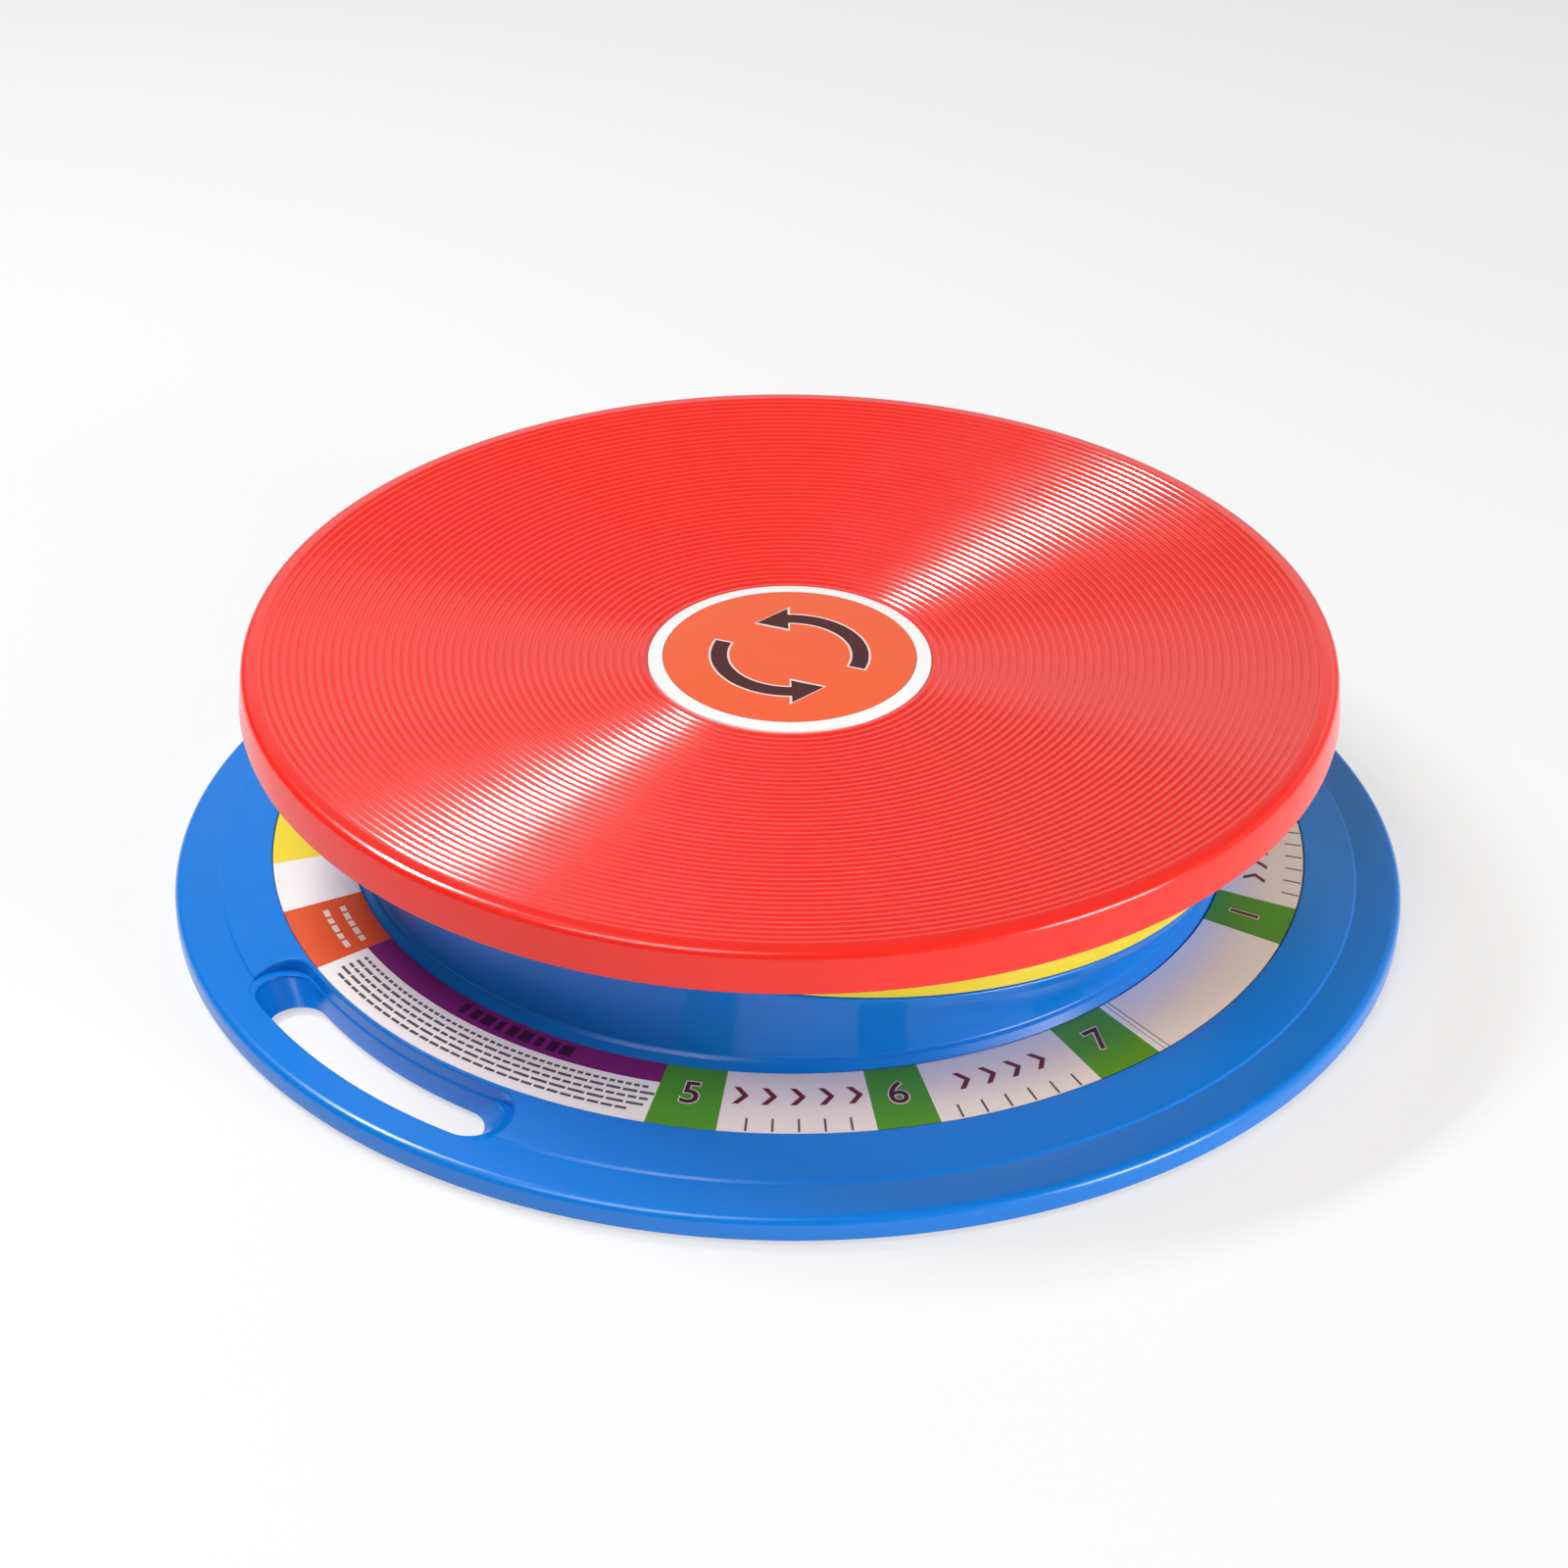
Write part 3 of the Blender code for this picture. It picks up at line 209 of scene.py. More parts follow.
base_corners = [
    (SPIGOT_BORE, SPIGOT_TOP, 0.3 * MM), (SPIGOT_RADIUS, SPIGOT_TOP, 0.5 * MM),
    (SPIGOT_RADIUS, DRUM_MIDDLE, 0.4 * MM),
    (FRICTION_INNER, DRUM_MIDDLE, 0), (FRICTION_INNER, FRICTION_FLOOR, 0),
    (FRICTION_OUTER, FRICTION_FLOOR, 0), (FRICTION_OUTER, DRUM_MIDDLE, 0),
    (DRUM_TOP, DRUM_MIDDLE, DRUM_EDGE),
    *[drum_wall(step / 12) for step in range(11, 0, -1)],
    (DRUM_FOOT, LEDGE_TOP, 0.8 * MM), (LEDGE_RADIUS, LEDGE_LOW, 0.5 * MM),
    (LABEL_INNER, SEAT_INNER, 0.2 * MM), (LABEL_OUTER, SEAT_OUTER, 0.1 * MM),
    (LABEL_OUTER, DECK_INNER, 0.5 * MM),
    (RIDGE, RIDGE_TOP, 0.35 * MM), (RIDGE + RIDGE_STEP, RIDGE_FOOT, 0.35 * MM),
    (RIM_RADIUS, RIM_TOP, RIM_ROUND), (RIM_RADIUS, RIM_LOW, 0.9 * MM),
    (RIM_INSIDE, RIM_LOW, 0.4 * MM), (RIM_INSIDE, RIM_UNDER, 1.2 * MM), (RIDGE, RIDGE_UNDER, 0),
    (COVER_WALL_OUTER, DECK_UNDER_OUTER, 1.0 * MM), (COVER_WALL_OUTER, RIM_LOW, 0.4 * MM),
    (COVER_WALL_INNER, RIM_LOW, 0.4 * MM), (COVER_WALL_INNER, DECK_UNDER_INNER, 1.0 * MM),
    (LABEL_INNER, SEAT_UNDER, 0),
    *[drum_wall(step / 8, BASE_WALL) for step in range(5)],
    (DRUM_INSIDE_TOP, LEAN_END, 0), (COLUMN_RADIUS, LEAN_END, 0), (COLUMN_RADIUS, COLUMN_LOW, 0),
    (SPIGOT_BORE, COLUMN_LOW, 0),
]
base = spun("base", rounded(base_corners), BASE_STEPS)


def slot_ring(work, angle, inner, outer, level):
    """The hand slot's outline: two arcs about the base's axis joined by round ends."""
    middle = (inner + outer) / 2
    size = (outer - inner) / 2
    places = []
    for side, radius in ((1, outer), (-1, inner)):
        for index in range(SLOT_SIDE_STEPS + 1):
            turn = SLOT_HEADING + side * angle * (2 * index / SLOT_SIDE_STEPS - 1)
            places.append(polar(radius, turn))
        end = SLOT_HEADING + side * angle
        facing = end if side > 0 else end + math.pi
        for index in range(1, SLOT_END_STEPS):
            places.append(polar(middle, end) + polar(size, facing + math.pi * index / SLOT_END_STEPS))
    for place in places:
        place.z = level(place.length)
    loop = [work.verts.new(place) for place in places]
    return [work.edges.new(pair) for pair in zip(loop, loop[1:] + loop[:1])]


def slot_body(name, layers):
    """A solid lofted through slot outlines, from the lowest up: (angle, inner, outer, level)."""
    work = bmesh.new()
    rings = [slot_ring(work, *layer) for layer in layers]
    for lower, upper in zip(rings, rings[1:]):
        bmesh.ops.bridge_loops(work, edges=lower + upper)
    bmesh.ops.contextual_create(work, geom=rings[0])
    bmesh.ops.contextual_create(work, geom=rings[-1])
    bmesh.ops.triangulate(work, faces=work.faces)
    return finish_mesh(work, name)


def flare(angle, inner, outer, level, inner_size, outer_size):
    """Slot outlines that round the slot's edges over as they come up to a level."""
    size = max(inner_size, outer_size)
    layers = []
    for step in range(6):
        turn = math.radians(16 * step)
        wide = 1 - math.cos(turn)
        drop = size * (1 - math.sin(turn))
        layers.append((angle, inner - inner_size * wide, outer + outer_size * wide,
                       lambda radius, drop=drop: level(radius) - drop))
    return layers


def change_solid(target, tools, operation):
    """Join shapes to a piece, or cut them out, drop the shapes and close any pinholes that are left."""
    group = bpy.data.collections.new("tools")
    for tool in tools:
        group.objects.link(tool)
    step = target.modifiers.new("step", "BOOLEAN")
    step.operation = operation
    step.solver = "EXACT"
    step.operand_type = "COLLECTION"
    step.collection = group
    bpy.context.view_layer.update()
    graph = bpy.context.evaluated_depsgraph_get()
    target.data = bpy.data.meshes.new_from_object(target.evaluated_get(graph))
    target.modifiers.clear()
    mend = bmesh.new()
    mend.from_mesh(target.data)
    bmesh.ops.dissolve_degenerate(mend, dist=0.001 * MM, edges=mend.edges)
    bmesh.ops.holes_fill(mend, edges=[edge for edge in mend.edges if edge.is_boundary], sides=0)
    mend.to_mesh(target.data)
    mend.free()
    target.data.validate()
    for tool in tools:
        bpy.data.objects.remove(tool)
    bpy.data.collections.remove(group)


def slot_floor(radius):
    return min(SLOT_FLOOR, deck(radius))


def slot_edge(radius):
    return max(SLOT_FLOOR, deck(radius))


def under_deck(radius):
    """Halfway through the deck, where what joins it from below ends."""
    return deck(radius) - BASE_WALL / 2


def base_rib(angle):
    """A rib under the deck, from the cover's wall to the rim, with its top inside the deck."""
    work = bmesh.new()
    inner = COVER_WALL_OUTER - RIB_SINK
    outer = RIM_INSIDE + RIB_SINK
    low = RIM_LOW + RIB_RISE
    outline = [(inner, low), (outer, low), (outer, RIM_TOP - 4.5 * MM), (RIM_INSIDE, under_deck(RIM_INSIDE)),
               (RIDGE, under_deck(RIDGE)), (inner, under_deck(LABEL_OUTER) - RIB_SINK)]
    face = work.faces.new([work.verts.new((radius, -RIB_THICKNESS / 2, level)) for radius, level in outline])
    grown = bmesh.ops.extrude_face_region(work, geom=[face])["geom"]
    moved = [item for item in grown if isinstance(item, bmesh.types.BMVert)]
    bmesh.ops.translate(work, verts=moved, vec=(0, RIB_THICKNESS, 0))
    bmesh.ops.rotate(work, verts=work.verts, matrix=Matrix.Rotation(angle, 3, "Z"))
    return finish_mesh(work, "rib")


def foot_boss(angle):
    """The boss round a foot's socket, whose top follows the deck."""
    radius = FOOT_RADIUS + FOOT_GAP + FOOT_WALL
    boss = spun("boss", [(0, RIM_TOP), (radius, RIM_TOP), (radius, RIM_LOW), (0, RIM_LOW)], BORE_STEPS)
    boss.data.transform(Matrix.Translation(polar(FOOT_CIRCLE, angle)))
    for vertex in boss.data.vertices:
        if vertex.co.z > RIM_LOW + FOOT_GAP:
            vertex.co.z = under_deck(vertex.co.xy.length)
    return boss


foot_angles = spread(FEET, SLOT_HEADING + math.pi / FEET)
sleeve = slot_body("sleeve", [
    (SLOT_LOW_ANGLE, SLOT_LOW_INNER - SLOT_WALL, SLOT_LOW_OUTER + SLOT_WALL, lambda radius: RIM_LOW),
    (SLOT_STEP_ANGLE, SLOT_INNER - SLOT_WALL, SLOT_OUTER + SLOT_WALL,
     lambda radius: min(SLOT_FLOOR - SLOT_WALL, under_deck(radius))),
    (SLOT_STEP_ANGLE, SLOT_INNER - SLOT_WALL, SLOT_OUTER + SLOT_WALL, under_deck),
])
joins = [sleeve]
joins += [base_rib(angle) for angle in spread(RIBS, math.pi / RIBS)]
joins += [foot_boss(angle) for angle in foot_angles]
change_solid(base, joins, "UNION")

hole_layers = []
for wider, rise in ((0.9 * MM, -0.5 * MM), (0.6 * MM, 0.1 * MM), (0, 0.7 * MM)):
    hole_layers.append((SLOT_LOW_ANGLE, HOLE_LOW_INNER - wider, HOLE_LOW_OUTER + wider,
                        lambda radius, rise=rise: RIM_LOW + rise))
hole_layers += flare(SLOT_ANGLE, HOLE_INNER, HOLE_OUTER, slot_floor, 0.3 * MM, 0.8 * MM)
hole_layers += [(SLOT_ANGLE, HOLE_INNER - 0.4 * MM, HOLE_OUTER + 1.2 * MM,
                 lambda radius: slot_floor(radius) + 0.5 * MM)]
step_layers = [(SLOT_STEP_ANGLE, SLOT_INNER, SLOT_OUTER, slot_floor)]
step_layers += flare(SLOT_STEP_ANGLE, SLOT_INNER, SLOT_OUTER, slot_edge, 0.7 * MM, 0.1 * MM)
step_layers += [(SLOT_STEP_ANGLE, SLOT_INNER - 0.9 * MM, SLOT_OUTER + 0.1 * MM,
                 lambda radius: slot_edge(radius) + 0.5 * MM)]
change_solid(base, [slot_body("hole", hole_layers)], "DIFFERENCE")
change_solid(base, [slot_body("step", step_layers)], "DIFFERENCE")
sockets = []
for foot_angle in foot_angles:
    wide = FOOT_RADIUS + FOOT_GAP
    top = FOOT_TOP + FOOT_GAP
    low = RIM_LOW - CUT_OVER
    socket = spun("socket", [(0, top), (wide, top), (wide, low), (0, low)], BORE_STEPS)
    socket.data.transform(Matrix.Translation(polar(FOOT_CIRCLE, foot_angle)))
    sockets.append(socket)
change_solid(base, sockets, "DIFFERENCE")

tip_axis = Vector((-math.sin(SLOPE_HEADING), math.cos(SLOPE_HEADING), 0))
drum_centre = Vector((0, 0, DRUM_MIDDLE))
for vertex in base.data.vertices:
    share = min(max((vertex.co.z - LEDGE_TOP) / (LEAN_END - LEDGE_TOP), 0.0), 1.0)
    vertex.co = drum_centre + Matrix.Rotation(SLOPE_ANGLE * share, 3, tip_axis) @ (vertex.co - drum_centre)
smooth(base.data)
weigh = base.modifiers.new("weigh", "WEIGHTED_NORMAL")
weigh.keep_sharp = True


def make(tree, kind, inputs=None, **settings):
    """A shader node with its settings made and its inputs set or linked."""
    item = tree.nodes.new(kind)
    for name, value in settings.items():
        setattr(item, name, value)
    for name, value in (inputs or {}).items():
        if isinstance(value, bpy.types.NodeSocket):
            tree.links.new(value, item.inputs[name])
        else:
            item.inputs[name].default_value = value
    return item


def maths(tree, operation, first, second=0.0, third=0.0):
    return make(tree, "ShaderNodeMath", {0: first, 1: second, 2: third}, operation=operation).outputs[0]


def mix(tree, share, first, second):
    """A colour between two colours."""
    return make(tree, "ShaderNodeMix", {0: share, 6: first, 7: second}, data_type="RGBA").outputs[2]


def noise(tree, place, scale, detail=2.0):
    return make(tree, "ShaderNodeTexNoise", {"Vector": place, "Scale": scale, "Detail": detail}).outputs[0]


def shaded(colour, factor):
    return (*[min(value * factor, 1.0) for value in colour], 1.0)


def new_material(name):
    """A material with its tree, its main shader and the piece's own coordinates."""
    material = bpy.data.materials.new(name)
    material.use_nodes = True
    tree = material.node_tree
    place = make(tree, "ShaderNodeTexCoord").outputs["Object"]
    return material, tree, tree.nodes["Principled BSDF"], place


def plastic(name, colour, roughness=0.24, peel=0.010, vary=0.05):
    """Moulded plastic: cloudy colour, an uneven shine, a faint orange peel and fine handling marks."""
    material, tree, shader, place = new_material(name)
    cloud = noise(tree, place, 14, 3)
    tint = mix(tree, cloud, shaded(colour, 1 - vary), shaded(colour, 1 + vary))
    tree.links.new(tint, shader.inputs["Base Color"])
    smear = noise(tree, place, 55, 4)
    marks = noise(tree, place, 900, 2)
    worn = maths(tree, "MULTIPLY_ADD", smear, 0.10, roughness - 0.07)
    worn = maths(tree, "MULTIPLY_ADD", marks, 0.04, worn)
    tree.links.new(worn, shader.inputs["Roughness"])
    wave = noise(tree, place, 160, 1)
    grain = noise(tree, place, 2200, 2)
    height = maths(tree, "MULTIPLY_ADD", grain, 0.12, wave)
    bump = make(tree, "ShaderNodeBump", {"Height": height, "Strength": 1.0, "Distance": peel * MM})
    tree.links.new(bump.outputs["Normal"], shader.inputs["Normal"])
    shader.inputs["IOR"].default_value = 1.5
    return material


blue_plastic = plastic("base_blue", BLUE)
base.data.materials.clear()
base.data.materials.append(blue_plastic)
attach(base, "base")
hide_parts("base_shell")

# Label ring
#
# A printed and laminated strip lies in the recess round the drum's foot. Its blocks of colour carry
# plain numbers, chevrons and ticks, so that it reads as the scale for the tilt.
LABEL_GAP = 0.3 * MM
LABEL_THICK = 0.5 * MM
PAPER = (0.93, 0.84, 0.79)
PAPER_WHITE = (0.93, 0.90, 0.88)
SEAM_GREY = (0.42, 0.37, 0.37)
PURPLE = (0.22, 0.012, 0.16)
GREEN = (0.085, 0.33, 0.014)
BLOCK_ORANGE = (0.75, 0.085, 0.012)
BLOCK_YELLOW = (0.93, 0.72, 0.03)
INK_MAROON = (0.07, 0.012, 0.015)
INK_RED = (0.16, 0.018, 0.014)
INK_GREY = (0.10, 0.09, 0.10)
INK_PALE = (0.80, 0.66, 0.60)
TEXT_START = math.radians(-104.2)
TEXT_END = math.radians(-59.8)
TITLE_BAND = 9.7 * MM
BLOCKS = [
    (-180.0, PAPER), (-142.0, BLOCK_YELLOW), (-125.7, PAPER_WHITE), (-115.8, BLOCK_ORANGE),
    (-104.2, PAPER_WHITE), (-59.8, GREEN), (-52.7, PAPER), (-37.1, GREEN), (-30.8, PAPER), (-13.2, GREEN),
    (-5.5, PAPER_WHITE), (-4.75, SEAM_GREY), (-4.6, PAPER_WHITE), (-4.15, SEAM_GREY), (-3.9, PAPER),
    (18.9, GREEN), (26.2, PAPER), (44.0, GREEN), (50.6, PAPER), (66.0, GREEN),
    (72.6, PAPER), (90.0, GREEN), (96.6, PAPER), (112.0, BLOCK_YELLOW), (128.0, PAPER_WHITE),
    (140.0, BLOCK_ORANGE), (152.0, PAPER_WHITE),
]
label_in = LABEL_INNER + LABEL_GAP
label_out = LABEL_OUTER - LABEL_GAP


def label_top(radius):
    return deck(radius) + LABEL_GAP + LABEL_THICK


label_corners = [
    (label_in, label_top(label_in), 0.15 * MM), (label_out, label_top(label_out), 0.15 * MM),
    (label_out, label_top(label_out) - LABEL_THICK, 0), (label_in, label_top(label_in) - LABEL_THICK, 0),
]
label = spun("label", rounded(label_corners), BASE_STEPS)


def printed_label():
    material, tree, shader, place = new_material("label_print")
    split = make(tree, "ShaderNodeSeparateXYZ", {0: place})
    turn = maths(tree, "ARCTAN2", split.outputs[1], split.outputs[0])
    turn = maths(tree, "MULTIPLY_ADD", turn, 1 / (2 * math.pi), 0.5)
    blocks = (*BLOCKS[0][1], 1)
    for angle, colour in BLOCKS[1:]:
        past = maths(tree, "GREATER_THAN", turn, angle / 360 + 0.5)
        blocks = mix(tree, past, blocks, (*colour, 1))
    across = maths(tree, "SQRT", maths(tree, "MULTIPLY_ADD", split.outputs[0], split.outputs[0],
                                       maths(tree, "MULTIPLY", split.outputs[1], split.outputs[1])))
    begun = maths(tree, "GREATER_THAN", turn, TEXT_START / (2 * math.pi) + 0.5)
    ended = maths(tree, "LESS_THAN", turn, TEXT_END / (2 * math.pi) + 0.5)
    title = maths(tree, "LESS_THAN", across, LABEL_INNER + TITLE_BAND)
    title = maths(tree, "MULTIPLY", title, maths(tree, "MULTIPLY", begun, ended))
    blocks = mix(tree, title, blocks, (*PURPLE, 1))
    grain = noise(tree, place, 700, 3)
    dirt = maths(tree, "MULTIPLY_ADD", grain, 0.05, -0.02)
    tint = mix(tree, dirt, blocks, (0.3, 0.25, 0.25, 1))
    tree.links.new(tint, shader.inputs["Base Color"])
    worn = maths(tree, "MULTIPLY_ADD", noise(tree, place, 80, 3), 0.12, 0.30)
    tree.links.new(worn, shader.inputs["Roughness"])
    ripple = maths(tree, "MULTIPLY_ADD", grain, 0.3, noise(tree, place, 90, 2))
    bump = make(tree, "ShaderNodeBump", {"Height": ripple, "Strength": 1.0, "Distance": 0.012 * MM})
    tree.links.new(bump.outputs["Normal"], shader.inputs["Normal"])
    return material


label.data.materials.append(printed_label())
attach(label, "base")
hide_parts("label_ring")

# Print on the label ring
#
# Numbers, chevrons, ticks and rows of dashes are thick printed ink on the strip, a few hundredths of a
# millimetre high. Numbers have a pale outline, and all of them stand upright for someone outside.
INK_THIN = 0.02 * MM
INK_THICK = 0.05 * MM
NUMBER_SIZE = 14.6 * MM
NUMBER_EDGE = 0.55 * MM
NUMBER_RADIUS = 176.9 * MM
NUMBERED = [22.55, 47.3, 69.3, 93.3, -56.2, -34.0, -9.4]
CHEVRON_RADIUS = 176.2 * MM
CHEVRON_PITCH = 9.4 * MM
CHEVRON_HEIGHT = 8.0 * MM
CHEVRON_WIDTH = 5.2 * MM
CHEVRON_STROKE = 2.1 * MM
TICK_LENGTH = 6.2 * MM
TICK_THICK = 0.75 * MM
TICK_PITCH = math.radians(2.6)
SCALE_BLOCKS = [(-44.7, 5, 5), (-22.0, 4, 6), (35.3, 4, 6), (58.3, 4, 5), (81.3, 4, 6)]
TEXT_ROWS = 5
TEXT_MARGIN = 4.5 * MM
LAST_ROW_MARGIN = 7.5 * MM
ROW_START = 3.1 * MM
ROW_PITCH = 2.9 * MM
ROW_HEIGHT = 1.15 * MM
DASH_STEP = 1.0 * MM
TITLE_BARS = 9
TITLE_START = -86.5
TITLE_PITCH = 1.85
TITLE_HEIGHT = 5.0 * MM
SECTOR_ROWS = 2
SECTOR_BARS = 5
SECTOR_START = -113.2
SECTOR_PITCH = 1.7
SECTOR_ROW_START = 9.0
SECTOR_ROW_PITCH = 6.0
SECTOR_HEIGHT = 2.0 * MM


def ink(name, colour):
    """Printed ink: near-matt, with a slightly uneven tone and edge-to-edge grain."""
    material, tree, shader, place = new_material(name)
    speckle = noise(tree, place, 1500, 3)
    tree.links.new(mix(tree, speckle, shaded(colour, 0.8), shaded(colour, 1.2)), shader.inputs["Base Color"])
    tree.links.new(maths(tree, "MULTIPLY_ADD", speckle, 0.15, 0.32), shader.inputs["Roughness"])
    bump = make(tree, "ShaderNodeBump", {"Height": speckle, "Strength": 0.6, "Distance": 0.01 * MM})
    tree.links.new(bump.outputs["Normal"], shader.inputs["Normal"])
    return material


def slab(work, corners, thick):
    """A flat closed shape from its corners, grown upwards to a thickness."""
    face = work.faces.new([work.verts.new(corner) for corner in corners])
    grown = bmesh.ops.extrude_face_region(work, geom=[face], use_keep_orig=True)["geom"]
    moved = [item for item in grown if isinstance(item, bmesh.types.BMVert)]
    bmesh.ops.translate(work, verts=moved, vec=(0, 0, thick))


def on_label(middle, radius, right, up, lift=0.0):
    """A place on the label, from an angle and a radius, to the right and up as seen from outside."""
    place = polar(radius - up, middle + right / radius)
    place.z = label_top(radius - up) + lift
    return place


def mark(work, middle, radius, outline):
    """A printed shape on the label from (right, up) corners."""
    slab(work, [on_label(middle, radius, right, up) for right, up in outline], INK_THICK)


def number(work, words, middle, edge, thick):
    """A number on the label, widened all round by an edge."""
    letters = bpy.data.curves.new("number", "FONT")
    letters.body = words
    letters.size = NUMBER_SIZE
    letters.offset = edge
    letters.resolution_u = 4
    item = bpy.data.objects.new("number", letters)
    bpy.context.scene.collection.objects.link(item)
    bpy.context.view_layer.update()
    flat = bpy.data.meshes.new_from_object(item.evaluated_get(bpy.context.evaluated_depsgraph_get()))
    bpy.data.objects.remove(item)
    glyph = bmesh.new()
    glyph.from_mesh(flat)
    bmesh.ops.remove_doubles(glyph, verts=glyph.verts, dist=0.01 * MM)
    rights = [vertex.co.x for vertex in glyph.verts]
    ups = [vertex.co.y for vertex in glyph.verts]
    across = (min(rights) + max(rights)) / 2
    level = (min(ups) + max(ups)) / 2
    grown = bmesh.ops.extrude_face_region(glyph, geom=list(glyph.faces), use_keep_orig=True)["geom"]
    raised = {item for item in grown if isinstance(item, bmesh.types.BMVert)}
    for vertex in glyph.verts:
        lift = thick if vertex in raised else 0.0
        vertex.co = on_label(middle, NUMBER_RADIUS, vertex.co.x - across, vertex.co.y - level, lift)
    glyph.to_mesh(flat)
    glyph.free()
    work.from_mesh(flat)


def print_piece(work, name, colour):
    """All the print of one colour, as a piece that stays with the base."""
    piece = finish_mesh(work, name)
    piece.data.materials.append(ink("ink_" + name, colour))
    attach(piece, "base")


def bar(right, up, width, height):
    return [(right - width / 2, up - height / 2), (right + width / 2, up - height / 2),
            (right + width / 2, up + height / 2), (right - width / 2, up + height / 2)]


number_ink = bmesh.new()
number_edges = bmesh.new()
for index, heading in enumerate(NUMBERED):
    number(number_ink, str(index + 1), math.radians(heading), 0.12 * MM, INK_THICK)
    number(number_edges, str(index + 1), math.radians(heading), NUMBER_EDGE, INK_THIN)
print_piece(number_edges, "number_edges", INK_PALE)
print_piece(number_ink, "numbers", INK_MAROON)

chevrons = bmesh.new()
ticks = bmesh.new()
half = CHEVRON_WIDTH / 2
for heading, signs, lines in SCALE_BLOCKS:
    for index in range(signs):
        right = (index - (signs - 1) / 2) * CHEVRON_PITCH
        mark(chevrons, math.radians(heading) + right / CHEVRON_RADIUS, CHEVRON_RADIUS, [
            (-half, CHEVRON_HEIGHT / 2), (half - CHEVRON_STROKE, 0), (-half, -CHEVRON_HEIGHT / 2),
            (-half + CHEVRON_STROKE, -CHEVRON_HEIGHT / 2), (half, 0),
            (-half + CHEVRON_STROKE, CHEVRON_HEIGHT / 2)])
    for index in range(lines):
        turn = math.radians(heading) + (index - (lines - 1) / 2) * TICK_PITCH
        mark(ticks, turn, label_out - 0.5 * MM - TICK_LENGTH / 2, bar(0, 0, TICK_THICK, TICK_LENGTH))
print_piece(chevrons, "chevrons", INK_RED)

text_middle = (TEXT_START + TEXT_END) / 2
for row in range(TEXT_ROWS):
    radius = LABEL_INNER + TITLE_BAND + ROW_START + row * ROW_PITCH
    margin = LAST_ROW_MARGIN if row == TEXT_ROWS - 1 else TEXT_MARGIN
    room = (TEXT_END - TEXT_START) * radius / 2 - margin
    right = -room
    cell = 0
    while right < room:
        word = 2 + (cell * 5 + row * 3) % 5
        width = word * DASH_STEP
        mark(ticks, text_middle + (right + width / 2) / radius, radius, bar(0, 0, width, ROW_HEIGHT))
        right += width + 0.9 * DASH_STEP
        cell += 1
print_piece(ticks, "ticks", INK_GREY)

title = bmesh.new()
for index in range(TITLE_BARS):
    turn = math.radians(TITLE_START + index * TITLE_PITCH)
    mark(title, turn, LABEL_INNER + TITLE_BAND / 2, bar(0, 0, (2.6 + index % 3) * MM, TITLE_HEIGHT))
print_piece(title, "title_bars", shaded(PURPLE, 0.25)[:3])

sector_bars = bmesh.new()
for row in range(SECTOR_ROWS):
    radius = LABEL_INNER + (SECTOR_ROW_START + row * SECTOR_ROW_PITCH) * MM
    for index in range(SECTOR_BARS):
        turn = math.radians(SECTOR_START + index * SECTOR_PITCH)
        width = (3.4 + (index + row) % 2) * MM
        mark(sector_bars, turn, radius, bar(0, 0, width, SECTOR_HEIGHT))
print_piece(sector_bars, "sector_bars", INK_PALE)

# Wedge ring
#
# The yellow ring between the drum and the disc is a moulded wedge with a plain outer wall. It turns on
# the drum to set the tilt, and shows as a band that gets thicker to one side.
SETTING_ANGLE = math.radians(20.0)
WEDGE_LOW = 0.8 * MM
WEDGE_HIGH = 22.47 * MM
WEDGE_ROOF = 19.47 * MM
WEDGE_BORE = 40.5 * MM
WEDGE_INSIDE = 167.2 * MM
WELL_RADIUS = 50.0 * MM
WELL_FLOOR = 7.9 * MM
WELL_OUTSIDE = 65.2 * MM
PLATE_RADIUS = 62.3 * MM
PLATE_SEAT = 16.91 * MM
PAD_INNER = 126.0 * MM
PAD_OUTER = 148.3 * MM
RACE_OUTER = 133.3 * MM
LIP_OUTER = 136.3 * MM
LIP_TOP = 24.47 * MM
YELLOW = (0.93, 0.72, 0.03)
slope_frame = Matrix.Translation(drum_centre) @ Matrix.Rotation(SLOPE_ANGLE, 4, tip_axis)
ring_frame = slope_frame @ Matrix.Rotation(SLOPE_HEADING + SETTING_ANGLE, 4, "Z")
disc_frame = ring_frame @ Matrix.Rotation(-SLOPE_ANGLE, 4, "Y")

